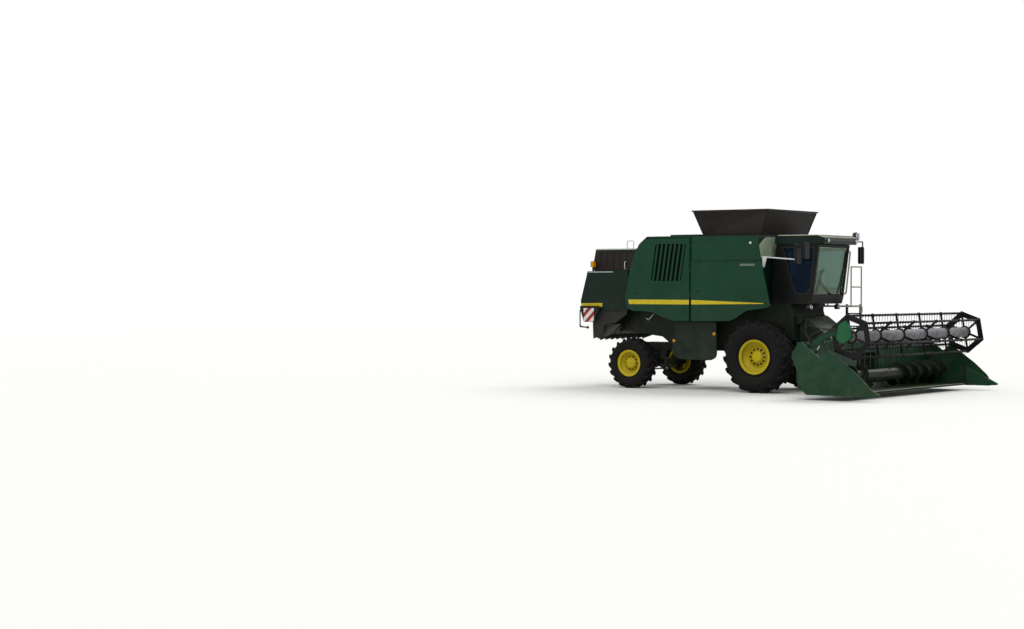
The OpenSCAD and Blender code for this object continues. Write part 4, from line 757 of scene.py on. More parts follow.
# %% Glass seals
def inset(outline, distance):
    """The outline, given counter-clockwise or clockwise as (a, b) points, moved inward by a distance."""
    area = sum(a[0] * b[1] - b[0] * a[1] for a, b in zip(outline, outline[1:] + outline[:1]))
    turn = 1 if area > 0 else -1
    moved = []
    for before, here, after in corners_of(outline):
        d1, d2 = (Vector(here) - Vector(before)).normalized(), (Vector(after) - Vector(here)).normalized()
        n1, n2 = Vector((-d1.y, d1.x)) * turn, Vector((-d2.y, d2.x)) * turn
        moved.append(Vector(here) + (n1 + n2) * distance / (1 + n1.dot(n2)))
    return moved


def band(shape, outline, width, place, out, corner):
    """A flat band of constant width inside a closed outline with round corners.
    place turns (a, b) into a point, and out is the band's thickness as a vector."""
    outer, inner = rounded(outline, corner), rounded(inset(outline, width), max(corner - width, 0.005))
    count = len(outer)
    for i in range(count):
        j = (i + 1) % count
        prism(shape, [place(*outer[i]), place(*outer[j]), place(*inner[j]), place(*inner[i])], out)


def rim(name, outline, width, place, out, corner, material, body):
    """A piece that is one band."""
    shape = bmesh.new()
    band(shape, outline, width, place, out, corner)
    piece(name, shape, material, body)


window_outline = [(0.362, 3.699), (0.701, 2.611), (0.76, 2.521), (0.85, 2.491), (1.06, 2.501), (1.13, 2.561),
                  (1.189, 2.73), (1.289, 3.699)]
door_glass = [(0.43, 2.72), (0.48, 2.66), (1.08, 2.66), (1.15, 2.72), (1.262, 3.63), (0.43, 3.63)]
for name, outline, width, y, depth, body in (("side_window_seal", window_outline, 0.028, -0.8515, 0.0105, "chassis"),
                                             ("door_glass_seal", door_glass, 0.024, 0.8515, -0.019, "door")):
    rim(name, outline, width, lambda x, z: at(x, y, z), (0, depth, 0), 0.06, seal_rubber, body)


def screen_point(y, z, out=0.0):
    """A point on the windscreen's outer face."""
    return at(1.23 + (z - 2.42) * 0.1306 - 0.02 + out, y, z)


screen_outline = [(-0.788, 2.462), (0.788, 2.462), (0.788, 3.708), (-0.788, 3.708)]
rim("windscreen_seal", screen_outline, 0.03, lambda y, z: screen_point(y, z, 0.001), (0.008, 0, 0), 0.03,
    seal_rubber, "chassis")
print("seals", 3)

# %% [markdown]
# A wiper is a pressed arm on a pivot below the glass, with a thin rubber blade. It rests low on
# the screen.

# %% Wiper
shape = bmesh.new()
pivot = screen_point(0.1, 2.50, 0.004)
lathe(shape, [(0.03, 0), (0.03, 0.02), (0.018, 0.035), (0, 0.035)], pivot, (1, 0, -0.13), 20)
tip = screen_point(-0.52, 2.82, 0.03)
arm_start = pivot + Vector((0.028, 0, 0))
across = (tip - arm_start).normalized().cross(Vector((1, 0, 0))) * 0.011
prism(shape, [arm_start - across, arm_start + across, tip + across * 0.5, tip - across * 0.5], (0.006, 0, 0))
piece("wiper_arm", shape, black_enamel, "chassis")
blade = [screen_point(-0.66, 2.52, 0.018), screen_point(-0.56, 2.8, 0.022), screen_point(-0.44, 3.14, 0.018)]
rod("wiper_blade", blade, 0.007, seal_rubber, "chassis")
print("wiper", round((tip - arm_start).length, 2), "m long")

# %% [markdown]
# Mirror heads hold a silvered pane in a raised black rim. Work lamps have a clear lens over a
# bright reflector bowl, which is a shallow turned dish.

# %% Mirror glass and lamps
def mirror_pane(name, x, y0, y1, z0, z1):
    """A pane that faces back, in a rim, on a mirror head whose back face is at x."""
    edge = [(y0, z0), (y1, z0), (y1, z1), (y0, z1)]
    pane = [at(x, y, z) for y, z in rounded(inset(edge, 0.012), 0.035)]
    cut(name, pane, (-0.003, 0, 0), mirror_glass, "chassis")
    rim(name + "_rim", edge, 0.014, lambda y, z: at(x, y, z), (-0.007, 0, 0), 0.045, black_plastic, "chassis")


mirror_pane("mirror_pane_near", 1.14, -1.62, -1.39, 3.25, 3.75)
mirror_pane("mirror_pane_far", 1.39, -1.64, -1.42, 3.37, 3.78)
mirror_pane("mirror_pane_left", 1.37, 1.39, 1.62, 3.28, 3.72)


def lamp_face(name, centre, radius):
    """A reflector bowl behind a clear domed glass, facing forward from centre."""
    for part, material, profile in (
            ("bowl", mirror_glass, [(1, 0), (1, 0.006), (0.9, 0.007), (0.5, 0.002), (0.2, 0.0012), (0, 0.001)]),
            ("glass", clear_lens, [(0.92, 0.0075), (0.92, 0.011), (0.6, 0.016), (0, 0.018), (0, 0.0165), (0.6, 0.0145),
                                   (0.9, 0.0095)])):
        profile = [(radius * share, height) for share, height in profile]
        turned(f"{name}_{part}", profile, centre, (1, 0, 0), 32, material, "chassis")


lamp_y = 0.76
for number, y in enumerate((-lamp_y, lamp_y)):
    lamp_face(f"roof_lamp_{number}", at(1.6403, y, 3.84), 0.045)
    lamp_face(f"road_lamp_{number}", at(1.15, y, 2.17), 0.062)
lamp_face("high_lamp", at(1.51, 1.1, 3.98), 0.105)
print("mirrors 3, lamps 5")

# %% [markdown]
# The beacon is a ribbed amber dome turned from one profile. Its foot is the frame's own node.

# %% Beacon
beacon_foot, beacon_height = at(-5.24, -1.1, 3.2018), 0.16
profile = [(0.0765, 0.0)]
for i in range(9):
    z = 0.008 + i * 0.014
    profile += [(0.0765, z), (0.0785, z + 0.005), (0.0765, z + 0.01)]
profile += [(0.074, 0.142), (0.06, 0.153), (0.03, 0.159), (0, beacon_height)]
turned("beacon_dome", profile, beacon_foot, (0, 0, 1), 40, amber_lens, "chassis")
print("beacon top at", round(beacon_foot.z + beacon_height, 3), "m")

# %% [markdown]
# Wheels are held by a ring of studs with conical nuts, and each hub has a turned cap. A tyre's
# sidewall carries moulded rings near the bead and near the shoulder, and a valve stands in the
# rim. They turn with their wheel.

# %% Wheel fittings
def wheel_fittings(name, body, centre, side, bolt_circle, count, face, bead_r, bead_y, half_w, outer_r, across):
    """Nuts, cap, sidewall rings and valve of one wheel. face and bead_y are how far out disc and bead stand."""
    axis = Vector((0, side, 0))
    shape = bmesh.new()
    for i in range(count):
        a = math.tau * i / count
        spot = centre + Vector((bolt_circle * math.cos(a), side * face, bolt_circle * math.sin(a)))
        lathe(shape, [(across * 0.75, 0), (across * 0.75, 0.004), (across * 0.6, 0.007)], spot, axis, 16)
        nut(shape, spot + axis * 0.006, axis, across, across * 0.8)
    piece(name + "_nuts", shape, black_enamel, body)
    cap = [(0, -0.005), (0.05, -0.005), (0.05, 0.02), (0.042, 0.032), (0.02, 0.038), (0, 0.039)]
    turned(name + "_cap", cap, centre + axis * (face + 0.035), axis, 32, black_enamel, body)
    shape = bmesh.new()
    for radius, out, thick in ((bead_r + 0.03, bead_y, 0.008), (bead_r + 0.055, bead_y + 0.003, 0.006),
                               (outer_r * 0.8, half_w * 0.985, 0.008)):
        foot, top = out - 0.012, out + 0.003
        ring = [(radius - thick, foot), (radius - thick * 0.5, top),
                (radius + thick * 0.5, top), (radius + thick, foot)]
        lathe(shape, ring, centre, axis, 96)
    piece(name + "_rings", shape, tyre, body)
    stem = [centre + Vector((bead_r * 0.86, side * (bead_y - 0.05), 0.02)),
            centre + Vector((bead_r * 0.84, side * bead_y, 0.02))]
    rod(name + "_valve", stem, 0.006, bolt_zinc, body, False)


for side, s in sides:
    wheel_fittings(f"front_{side}", f"wheel_front_{side}", at(0, s * 1.335, 0.91), s, bolt_circle=0.2, count=12,
                   face=0.094, bead_r=0.44, bead_y=0.285, half_w=0.32, outer_r=0.91, across=0.036)
    wheel_fittings(f"rear_{side}", f"wheel_rear_{side}", at(-3.85, s * 1.27, 0.66), s, bolt_circle=0.165, count=10,
                   face=0.067, bead_r=0.35, bead_y=0.2, half_w=0.22, outer_r=0.66, across=0.03)
print("wheels 4")

# %% [markdown]
# The driver's seat is two foam cushions in cloth over a bellows. A cushion starts as a rounded
# slab a little smaller than its final size. Cloth simulation then blows it up under light
# pressure, so that it crowns in the middle and pulls in at its corners. No point may move
# further than the cap.

# %% Seat cushions
pressure, cloth_steps = 4, 16


def cushion(name, low, high, pull, cap_m=0.02, lean=0.0):
    """A crowned cushion between two corners, leaning back by lean radians about its lower rear edge."""
    shape = bmesh.new()
    block(shape, low, high, pull)
    mesh = bpy.data.meshes.new(name)
    shape.to_mesh(mesh)
    shape.free()
    made = put(name, mesh)
    remesh = made.modifiers.new("remesh", "REMESH")
    remesh.mode = "VOXEL"
    remesh.voxel_size = 0.014
    settle(made)
    rest = [v.co.copy() for v in made.data.vertices]
    cloth = made.modifiers.new("cloth", "CLOTH")
    cloth.settings.use_pressure = True
    cloth.settings.uniform_pressure_force = pressure
    cloth.settings.effector_weights.gravity = 0
    for step in range(1, cloth_steps + 1):
        bpy.context.scene.frame_set(step)
    settle(made)
    for vertex, start in zip(made.data.vertices, rest):
        moved = vertex.co - start
        if moved.length > cap_m:
            vertex.co = start + moved.normalized() * cap_m
    bpy.context.scene.frame_set(1)
    if lean:
        hinge = Vector((low[0], 0, low[2]))
        swing = Matrix.Rotation(lean, 4, "Y")
        made.data.transform(Matrix.Translation(hinge) @ swing @ Matrix.Translation(-hinge))
    smooth = made.modifiers.new("smooth", "SUBSURF")
    smooth.levels = smooth.render_levels = 1
    settle(made)
    for face in made.data.polygons:
        face.use_smooth = True
    made.data.materials.clear()
    made.data.materials.append(seat_cloth)
    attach(made, "chassis")
    return made


def settle(made):
    """Replaces an object's mesh by what its modifiers make of it, and clears them."""
    graph = bpy.context.evaluated_depsgraph_get()
    result = bpy.data.meshes.new_from_object(made.evaluated_get(graph))
    made.modifiers.clear()
    made.data = result


cab_floor = 2.33
seat = cushion("seat_cushion", at(0.44, -0.235, cab_floor + 0.39), at(0.85, 0.235, cab_floor + 0.46), 0.03)
back = cushion("seat_back", at(0.40, -0.225, cab_floor + 0.5), at(0.475, 0.225, cab_floor + 1.07), 0.03, lean=-0.06)
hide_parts("cab_seat")
folds = [(0.17 + 0.025 * (i % 2), 0.04 + 0.028 * i) for i in range(11)]
bellows = [(0, 0), (0.2, 0), (0.2, 0.03)] + folds + [(0.2, 0.355), (0.2, 0.38), (0, 0.38)]
turned("seat_bellows", bellows, at(0.6, 0, cab_floor + 0.001), (0, 0, 1), 32, hose_rubber, "chassis")
shape = bmesh.new()
for y in (-0.29, 0.29):
    block(shape, at(0.5, y - 0.03, cab_floor + 0.6), at(0.78, y + 0.03, cab_floor + 0.645), 0.015)
    block(shape, at(0.45, y - 0.015, cab_floor + 0.44), at(0.49, y + 0.015, cab_floor + 0.62), 0.005)
block(shape, at(0.44, -0.3, cab_floor + 0.43), at(0.5, 0.3, cab_floor + 0.45), 0.005)
piece("seat_armrests", shape, black_plastic, "chassis")
print("seat cushions", [len(o.data.polygons) for o in (seat, back)], "faces")

# %% [markdown]
# The steering column and console come from the frame. A monitor on a bent arm and a joystick
# with its boot are added, because the right-hand window shows them.

# %% Cab fittings
shape = bmesh.new()
block(shape, at(0.86, -0.62, cab_floor + 0.83), at(0.89, -0.36, cab_floor + 1.03), 0.008)
piece("monitor", shape, black_plastic, "chassis")
arm = on_plane(-0.5, [(0.7, cab_floor + 0.6), (0.72, cab_floor + 0.9), (0.862, cab_floor + 0.92)])
rod("monitor_arm", bent(arm, 0.05), 0.012, black_enamel, "chassis")
stick = [(0.05, 0), (0.045, 0.02), (0.03, 0.04), (0.012, 0.06), (0.011, 0.12), (0.024, 0.14), (0.028, 0.19),
         (0.018, 0.215), (0, 0.22)]
turned("joystick", stick, at(0.84, -0.42, cab_floor + 0.62), (0.1, 0, 1), 24, black_plastic, "chassis")
print("cab fittings ready")

# %% [markdown]
# Handrails stand beside the cab's front corner, in the platform's olive, and on the air box, in
# pale grey; both pale tones are painted sunlight on the rails. Each is a bent tube with feet on the
# sheet that carries it.

# %% Handrails
def handrail(name, points, radius, material):
    rod(name, bent(points, radius * 3), radius, material, "chassis", False)


for side, s in sides:
    top, wall = s * 0.9, s * 1.0
    high_rail = on_plane(top, [(-4.28, 3.685), (-4.28, 3.9), (-4.08, 3.9), (-4.08, 3.685)])
    low_rail = [at(-4.25, wall + s * out, z) for out, z in ((0, 3.14), (0.07, 3.14), (0.07, 3.34), (0, 3.34))]
    handrail(f"air_box_rail_{side}", high_rail, 0.012, sunlit_pale_enamel)
    handrail(f"air_box_rail_low_{side}", low_rail, 0.012, sunlit_pale_enamel)
cab_rail = [at(1.245, 0.82, 2.5), at(1.31, 0.83, 2.5), at(1.43, 0.83, 3.6), at(1.375, 0.82, 3.6)]
handrail("cab_rail_front", cab_rail, 0.02, sunlit_olive_enamel)
print("handrails ready")

# %% [markdown]
# The reel is what this machine shows best. In the frame its spiders stand 20 degrees away from
# the bars that they should carry, so the whole reel is made again here. Every spoke now ends in
# the eye round its bar, and the two outer spiders have a six-sided ring as well.

# %% Reel
reel_radius = 0.5
bat_phase = 40
bat_radius, eye_radius = 0.025, 0.045
tine_first, tine_pitch, tine_count, tine_length = -3.075, 0.15, 42, 0.17
reel_half, shaft_half, shaft_radius = 3.27, 3.35, 0.03
spider_ys = [-3.255 + i * 1.302 for i in range(6)]
spoke_half, ring_outer, ring_inner = 0.028, 0.558, 0.4
spider_thick, ring_thick = 0.01, 0.011
bat_angles = [math.radians(bat_phase + 60 * i) for i in range(6)]


def on_reel(angle, radius, across=0.0, y=0.0):
    """A point at an angle and radius on the reel, moved across its spoke and along the reel."""
    return reel_axis + Matrix.Rotation(-angle, 3, "Y") @ Vector((radius, y, across))


def round_bar(radius, half):
    return [(0, -half), (radius, -half), (radius, half), (0, half)]


shape = bmesh.new()
for radius, half in ((tube_radius, reel_half), (shaft_radius, shaft_half)):
    lathe(shape, round_bar(radius, half), reel_axis, (0, 1, 0), 64)
eye = [(0, -0.008), (eye_radius - 0.002, -0.008), (eye_radius, -0.006),
       (eye_radius, 0.006), (eye_radius - 0.002, 0.008), (0, 0.008)]
tine = [(0.006, 0.02), (0.006, 0.05), (0.004, tine_length - 0.003), (0, tine_length)]
for y in spider_ys:
    star, back = [], y - spider_thick / 2
    for a in bat_angles:
        star += [on_reel(a, reel_radius, -spoke_half, back), on_reel(a, reel_radius, spoke_half, back),
                 on_reel(a + math.pi / 6, 2 * spoke_half, 0, back)]
        lathe(shape, eye, on_reel(a, reel_radius, 0, y), (0, 1, 0), 32)
        if y in (spider_ys[0], spider_ys[-1]):
            chord = [(a, ring_outer), (a + math.pi / 3, ring_outer), (a + math.pi / 3, ring_inner), (a, ring_inner)]
            chord = [on_reel(angle, radius, 0, y - ring_thick / 2) for angle, radius in chord]
            prism(shape, chord, (0, ring_thick, 0))
    prism(shape, star, (0, spider_thick, 0))
for a in bat_angles:
    bat = on_reel(a, reel_radius)
    lathe(shape, round_bar(bat_radius, reel_half), bat, (0, 1, 0), 32)
    for k in range(tine_count):
        lathe(shape, tine, bat + Vector((0, tine_first + tine_pitch * k, 0)), (0, 0, -1), 8)
reel = piece("reel_with_tines", shape, reel_enamel, "reel_rotor")
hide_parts("reel")
print("reel", len(reel.data.polygons), "faces")

# %% [markdown]
# Every tine is a spring wire: it is coiled twice round its bar before it runs down. The
# coils are added on all six bars, and two bolts hold each bar in its spider.

# %% Reel springs and bolts
def coil(shape, centre, radius, wire, turns=2, steps=10):
    """A coil round the Y axis, as a square wire that winds along it."""
    rings = []
    for i in range(turns * steps + 1):
        a = i / steps * math.tau
        out = Vector((math.cos(a), 0, math.sin(a)))
        middle = centre + out * radius + Vector((0, (i / steps - turns / 2) * wire * 2.2, 0))
        rings.append([shape.verts.new(middle + out * u + Vector((0, v, 0)))
                      for u, v in ((-wire, -wire), (wire, -wire), (wire, wire), (-wire, wire))])
    for a, b in zip(rings, rings[1:]):
        for i in range(4):
            shape.faces.new((a[i], a[(i + 1) % 4], b[(i + 1) % 4], b[i]))
    shape.faces.new(rings[0][::-1])
    shape.faces.new(rings[-1])


for i, angle in enumerate(bat_angles):
    bat = on_reel(angle, reel_radius)
    shape = bmesh.new()
    for k in range(tine_count):
        coil(shape, bat + Vector((0, tine_first + tine_pitch * k + 0.018, 0)), 0.0315, 0.0035)
    piece(f"tine_coils_{i}", shape, coil_steel, "reel_rotor")
    shape = bmesh.new()
    inward = (reel_axis - bat).normalized()
    for y in spider_ys:
        for edge in (-1, 1):
            for step in (0.075, 0.115):
                nut(shape, bat + inward * step + Vector((0, y + edge * 0.005, 0)), (0, edge, 0), 0.019, 0.009)
    piece(f"spider_bolts_{i}", shape, black_enamel, "reel_rotor")
print("spring coils", 6 * tine_count)

# %% [markdown]
# A flanged hub with a ring of eight bolts joins each spider to the centre tube.

# %% Reel hubs
collar = [(0.1305, 0), (0.165, 0), (0.165, 0.006), (0.136, 0.006), (0.134, 0.03), (0.1305, 0.03)]
shape = bmesh.new()
for y in spider_ys:
    for edge in (-1, 1):
        base = reel_axis + Vector((0, y + edge * 0.0052, 0))
        lathe(shape, collar, base, (0, edge, 0), 40)
        for k in range(8):
            a = math.tau * (k + 0.5) / 8
            spot = base + Vector((0.15 * math.cos(a), edge * 0.006, 0.15 * math.sin(a)))
            nut(shape, spot, (0, edge, 0), 0.017, 0.009)
piece("reel_hubs", shape, black_enamel, "reel_rotor")
print("reel hubs", len(spider_ys))

# %% [markdown]
# The header's back sheet is stiffened by pressed ribs, and a row of bolts holds it to its top
# beam.

# %% Header sheets
back_sheet_x = 2.3355
shape = bmesh.new()
for k in range(22):
    y, half, z0, z1 = -3.15 + 0.3 * k, 0.018, 0.62, 1.3
    corners = [(y - half, z0), (y + half, z0), (y + half, z1), (y - half, z1)]
    prism(shape, [at(back_sheet_x, y, z) for y, z in corners], (0.004, 0, 0))
piece("back_sheet_ribs", shape, green_enamel, "header")
shape = bmesh.new()
for k in range(34):
    nut(shape, at(back_sheet_x, -3.3 + 0.2 * k, 1.335), (1, 0, 0), 0.019, 0.01)
piece("back_sheet_bolts", shape, bolt_zinc, "header")
print("header sheets ready")

# %% [markdown]
# Behind the louvre stands a fine wire screen that keeps chaff out of the cooler. Its wires are
# drawn 25 mm apart. Through the gaps between the slats it reads as a dark mesh.

# %% Cooler screen
shape = bmesh.new()
low, high = (-3.16, 2.85), (-2.1, 3.77)
screen_y = -1.44
pitch, wire, upright, level = 0.025, 0.003, 43, 37
for k in range(upright):
    x = low[0] + pitch * k
    block(shape, at(x - wire / 2, screen_y, low[1]), at(x + wire / 2, screen_y + wire, high[1]))
for k in range(level):
    z = low[1] + pitch * k
    block(shape, at(low[0], screen_y + wire, z - wire / 2), at(high[0], screen_y + 2 * wire, z + wire / 2))
block(shape, at(low[0], screen_y + 0.008, low[1]), at(high[0], screen_y + 0.011, high[1]))
piece("cooler_screen", shape, black_enamel, "panel_rear_right")
print("screen wires", upright + level)

# %% [markdown]
# The tank extension is bolted from four folded sheets, in the brown grey of painted shade. Each
# corner is lapped with a bolted strap, and the top edge is rolled round a wire whose pale zinc is
# a painted highlight along the lit rim.

# %% Tank extension straps
def flared(x_share, y_share, z_share, out=0.0):
    """A point on the extension's outer face: -1 to 1 across, and 0 at its foot to 1 at its top."""
    x0, x1 = -1.71 - 0.29 * z_share, -0.04 + 0.26 * z_share
    half = 1.24 + 0.08 * z_share
    z = 3.991 + 0.655 * z_share
    return at((x0 + x1) / 2 + x_share * ((x1 - x0) / 2 + out), y_share * (half + out), z)


def strap(shape, share, axis, width=0.04, thick=0.006):
    """A flat strap that runs up the extension's face at its x and y shares. It faces along axis."""
    a, b = flared(*share, 0.04, 0.001), flared(*share, 0.93, 0.001)
    if axis == "y":
        wide, out = Vector((width / 2, 0, 0)), (0, math.copysign(thick, share[1]), 0)
    else:
        wide, out = Vector((0, width / 2, 0)), (math.copysign(thick, share[0]), 0, 0)
    prism(shape, [a - wide, a + wide, b + wide, b - wide], out)


shape = bmesh.new()
for s in (-1, 1):
    for x_share in (-0.98, 0.98):
        strap(shape, (x_share, s), "y")
        for z_share in (0.12, 0.5, 0.85):
            nut(shape, flared(x_share, s, z_share, 0.004) + Vector((0, s * 0.004, 0)), (0, s, 0), 0.02, 0.01)
    for y_share in (-0.98, 0.98):
        strap(shape, (s, y_share), "x")
# The straps wear the brown grey of painted shade.
piece("extension_straps", shape, shaded_grey_enamel, "chassis")
corners = [flared(x, y, 0.972, 0.002) for x, y in ((-1, -1), (1, -1), (1, 1), (-1, 1))]
# The pale zinc of the rolled edge is a painted highlight along the lit rim.
rod("extension_rolled_edge_highlight", bent(corners + corners[:1], 0.03), 0.016, zinc, "chassis", False)
print("extension straps", 8)

# %% [markdown]
# People climb here, so the platform and the rungs are tread plate. Raised bars 40 mm long
# stand in two directions on the plate, and each rung has a row of small raised rings.

# %% Tread plate
shape = bmesh.new()
for i in range(24):
    for j in range(15):
        x, y = 0.45 + 0.041 * i, 0.88 + 0.041 * j
        dx, dy = (0.014, 0.004) if (i + j) % 2 else (0.004, 0.014)
        block(shape, at(x - dx, y - dy, 2.2), at(x + dx, y + dy, 2.2025))
piece("platform_tread", shape, zinc, "chassis")
shape = bmesh.new()
for i in range(5):
    for j in range(11):
        for k in range(3):
            lathe(shape, [(0.011, 0), (0.009, 0.003), (0.006, 0.003), (0.005, 0)],
                  at(1.02 + 0.031 * j, 1.53 + 0.04 * k, 0.68 + 0.33 * i), (0, 0, 1), 8)
piece("rung_rings", shape, zinc, "steps")
print("tread ready")

# %% [markdown]
# Two hydraulic pipes run along each side of the feeder house, held by clamps. A chain guard
# covers its drive.

# %% Feeder house fittings
def along_feeder(u, height):
    """A point on the feeder's side: u from 0 at its hinge to 1 at the header, and height above its middle line."""
    return 0.82 + 1.24 * u, 1.62 - 0.87 * u + height


for side, s in sides:
    y = s * 0.65
    for number, height in enumerate((0.14, 0.185)):
        points = on_plane(y + s * 0.02, [along_feeder(u / 6, height) for u in range(7)])
        rod(f"feeder_pipe_{side}_{number}", points, 0.009, black_enamel, "header")
    shape = bmesh.new()
    for u in (0.1, 0.4, 0.7, 0.95):
        x, z = along_feeder(u, 0.162)
        block(shape, at(x - 0.018, y, z - 0.05), at(x + 0.018, y + s * 0.033, z + 0.05), 0.004)
        nut(shape, at(x, y + s * 0.033, z), (0, s, 0), 0.017, 0.009)
    piece(f"feeder_clamps_{side}", shape, black_plastic, "header")
    shape = bmesh.new()
    guard = [along_feeder(*spot) for spot in ((0.12, -0.02), (0.12, -0.2), (0.86, -0.24), (0.86, -0.04))]
    guard_depth = s * 0.045
    prism(shape, on_plane(y, guard), (0, guard_depth, 0))
    edges = [e for e in shape.edges if all(abs(v.co.y - (y + guard_depth)) < 1e-6 for v in e.verts)]
    bmesh.ops.bevel(shape, geom=edges, offset=0.015, segments=3, profile=0.5, affect="EDGES")
    piece(f"chain_guard_{side}", shape, black_enamel, "header")
print("feeder fittings on both sides")

# %% [markdown]
# Light catches the folded top edges of the big sheets, so pale strips along them are painted
# highlights: a rain gutter round the cab roof, a lid strip on the air box and a hinge strip on the hood.

# %% Edge strips
roof_edge = [(0.28, 3.982), (1.42, 3.982), (1.555, 3.93)]
gutter = on_plane(-0.9, roof_edge) + on_plane(0.9, roof_edge[::-1])
rod("roof_gutter_highlight", bent(gutter, 0.05), 0.012, gutter_highlight_enamel, "chassis", False)
for side, s in sides:
    shape = bmesh.new()
    for inner, foot, top, bevel in ((1.0, 3.664, 3.69, 0.004), (0.93, 3.69, 3.696, 0.002)):
        block(shape, at(-5.21, s * inner, foot), at(-3.93, s * 1.012, top), bevel)
    piece(f"air_box_lid_highlight_strip_{side}", shape, zinc, "chassis")
    shape = bmesh.new()
    strip_face = hood_face + 0.009
    block(shape, at(-5.26, s * hood_face, 3.056), at(-4.47, s * strip_face, 3.08), 0.003)
    for k in range(8):
        nut(shape, at(-5.22 + 0.1 * k, s * strip_face, 3.068), (0, s, 0), 0.012, 0.005)
    piece(f"hood_hinge_highlight_strip_{side}", shape, zinc, "chassis")
print("edge strips 5")

# %% [markdown]
# A dark rubber sheet hangs from the straw hood on each side of the chopper, as painted shade
# under the hood. Steel cheeks stand at the ends of the spreader board, on short stays.

# %% Painted shade sheets and chopper cheeks
shade_outline = [(-5.15, 2.1), (-4.05, 2.08), (-4.05, 1.95), (-4.4, 1.72), (-4.75, 1.66), (-4.85, 1.36), (-5.12, 1.28)]
cheek = [(-4.88, 1.665), (-4.30, 1.69), (-4.70, 1.372), (-5.04, 1.275)]
cheek_y, cheek_thick = 1.12, 0.006
for side, s in sides:
    # A dark sheet as painted shade under the straw hood.
    cut(f"shade_sheet_{side}", on_plane(s * 1.262, shade_outline), (0, s * 0.008, 0), hose_rubber, "chassis")
    shape = bmesh.new()
    prism(shape, on_plane(s * cheek_y, rounded(cheek, 0.03)), (0, s * cheek_thick, 0))
    face = s * (cheek_y + cheek_thick)
    band(shape, cheek, 0.016, lambda x, z: at(x, face, z), (0, s * 0.012, 0), 0.03)
    for x, z in ((-4.66, 1.455), (-4.92, 1.345)):
        block(shape, at(x - 0.02, s * cheek_y, z - 0.02), at(x + 0.02, s * (cheek_y - 0.03), z + 0.02), 0.003)
        nut(shape, at(x, face, z), (0, s, 0), 0.024, 0.012)
    piece(f"spreader_cheek_{side}", shape, engine_iron, "chassis")
    # The lever is pale as painted sunlight.
    lever = [at(-3.68, s * 0.835, 1.84)] + on_plane(s * 0.9, [(-3.68, 1.84), (-3.6, 1.8), (-3.44, 1.95)])
    rod(f"concave_lever_{side}", bent(lever, 0.02), 0.012, sunlit_pale_enamel, "chassis", False)
print("curtains and cheeks on both sides")

# %% [markdown]
# The long stay of the right-hand mirrors is a bright tube with a gusset under it, both pale as
# painted sunlight. A second hydraulic hose loops up over the header to the reel drive, and its
# cover is pressed with a raised field inside a rolled edge, in a brighter green that is painted sunlight.

# %% Mirror stay, feed hose and drive cover
gusset = [at(0.1, -1.412, 3.43), at(0.25, -1.424, 3.42), at(0.17, -1.417, 3.16), at(0.12, -1.412, 3.2)]
cut("mirror_gusset", gusset, (0, -0.006, 0), sunlit_pale_enamel, "chassis")
stay = [at(0.06, -1.4007, 3.4394), at(1.1, -1.4972, 3.3622)]
rod("mirror_stay_tube", stay, 0.0175, sunlit_pale_enamel, "chassis", False)
feed = [(2.5, 3.385, 1.36), (2.45, 3.4, 1.48), (2.395, 3.405, 1.63), (2.43, 3.405, 1.74), (2.51, 3.4, 1.768),
        (2.63, 3.39, 1.742), (2.77, 3.376, 1.708), (2.93, 3.376, 1.69), (3.1, 3.376, 1.7), (3.27, 3.376, 1.69)]
rod("reel_feed_hose", [at(x, -y, z) for x, y, z in feed], 0.0125, hose_rubber, "reel_lift_arms")
cover = [(3.27, 1.79), (3.45, 1.9), (3.58, 1.72), (3.61, 1.49), (3.4, 1.34), (3.22, 1.44)]
shape = bmesh.new()
for y, inward, corner in ((-3.44, 0.004, 0.045), (-3.442, 0.05, 0.04)):
    prism(shape, on_plane(y, rounded(inset(cover, inward), corner)), (0, -0.002, 0))
piece("drive_cover_face", shape, sunlit_cover_enamel, "reel_lift_arms")
print("mirror stay, feed hose and drive cover ready")

# %% [markdown]
# The back of the straw hood leans forward as it rises. It carries a service door with two
# hinges and a turn latch, and a pair of round red and amber lamps at each side.

# %% Hood back
hood_top_x, hood_top_z, hood_lean = -5.29, 3.09, 0.275


def hood_back(y, z):
    """A point on the hood's leaning rear sheet."""
    return at(hood_top_x - (hood_top_z - z) * hood_lean, y, z)


outward = Vector((-0.964, 0, 0.265))
door = [(-0.8, 2.44), (0.8, 2.44), (0.8, 2.96), (-0.8, 2.96)]
shape = bmesh.new()
prism(shape, [hood_back(y, z) for y, z in rounded(door, 0.09)], outward * 0.004)
band(shape, inset(door, 0.05), 0.03, lambda y, z: hood_back(y, z) + outward * 0.004, outward * 0.006, 0.06)
for y in (-0.55, 0.55):
    block(shape, hood_back(y - 0.06, 2.975) - outward * 0.002, hood_back(y + 0.06, 2.94) + outward * 0.02, 0.004)
lathe(shape, [(0.04, 0), (0.04, 0.008), (0.03, 0.012), (0, 0.012)], hood_back(0, 2.5) + outward * 0.004, outward, 24)
piece("hood_door", shape, dark_enamel, "chassis")
for side, s in sides:
    for colour, y, material in (("red", 1.18, red_lens), ("amber", 1.03, amber_lens)):
        lens(f"rear_lamp_{colour}_{side}", hood_back(s * y, 2.43), outward, 0.055, 0.02, material, 3)
print("hood door and 4 rear lamps")

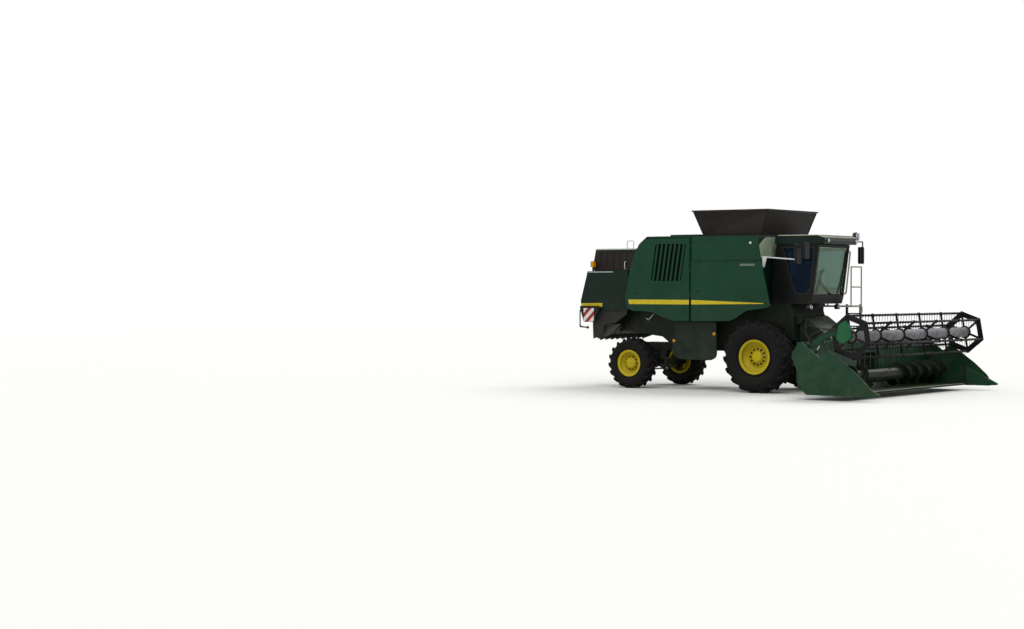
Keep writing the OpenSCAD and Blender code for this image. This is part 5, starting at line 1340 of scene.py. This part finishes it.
# %% [markdown]
# The machine stands on a plain pale floor under three broad soft lights. The world is white
# where the camera, a mirror or glass looks at it, and a lower grey where it lights the paint,
# so a colour renders about as it is written.

# %% Floor, lights and world
floor_size = 120
floor_material, _, _ = new_material("pale studio floor", Base_Color=linear("#dcdcd8"), Roughness=0.9)
bpy.ops.mesh.primitive_plane_add(size=floor_size, location=(0, 0, cad_box[0].z))
floor = bpy.context.object
floor.name = "floor"
floor.data.materials.append(floor_material)


def soft_light(name, azimuth, elevation, spread, strength):
    """A broad distant lamp, like a large softbox: its angle says how soft its shadows are."""
    lamp_data = bpy.data.lights.new(name, "SUN")
    lamp_data.energy = strength
    lamp_data.angle = math.radians(spread)
    lamp = put(name, lamp_data)
    a, e = math.radians(azimuth), math.radians(elevation)
    towards = Vector((math.cos(a) * math.cos(e), math.sin(a) * math.cos(e), math.sin(e)))
    lamp.rotation_mode = "QUATERNION"
    lamp.rotation_quaternion = towards.to_track_quat("Z", "Y")


soft_light("key", azimuth=-60, elevation=48, spread=50, strength=1.3)
soft_light("fill", azimuth=-140, elevation=30, spread=90, strength=0.6)
soft_light("rim", azimuth=80, elevation=50, spread=40, strength=1.8)

world = bpy.data.worlds.new("studio")
bpy.context.scene.world = world
world.use_nodes = True
sky = world.node_tree
sky.nodes.clear()
rays = add(sky, "ShaderNodeLightPath").outputs
seen = rays["Is Camera Ray"]
for kind in ("Is Glossy Ray", "Is Transmission Ray"):
    seen = add(sky, "ShaderNodeMath", {"operation": "MAXIMUM"}, links={0: seen, 1: rays[kind]}).outputs[0]
lit = add(sky, "ShaderNodeBackground", inputs={"Color": linear("#f2f4f6"), "Strength": 0.55})
white = add(sky, "ShaderNodeBackground", inputs={"Color": (1, 1, 1, 1), "Strength": 1.0})
either = add(sky, "ShaderNodeMixShader", links={"Fac": seen, 1: lit.outputs[0], 2: white.outputs[0]})
add(sky, "ShaderNodeOutputWorld", links={"Surface": either.outputs[0]})
bpy.context.scene.view_settings.view_transform = "Standard"

# %% [markdown]
# Last, the frame's box is printed.

# %% Size
bpy.context.view_layer.update()
print("frame  ", [round(v, 4) for corner in cad_box for v in corner])
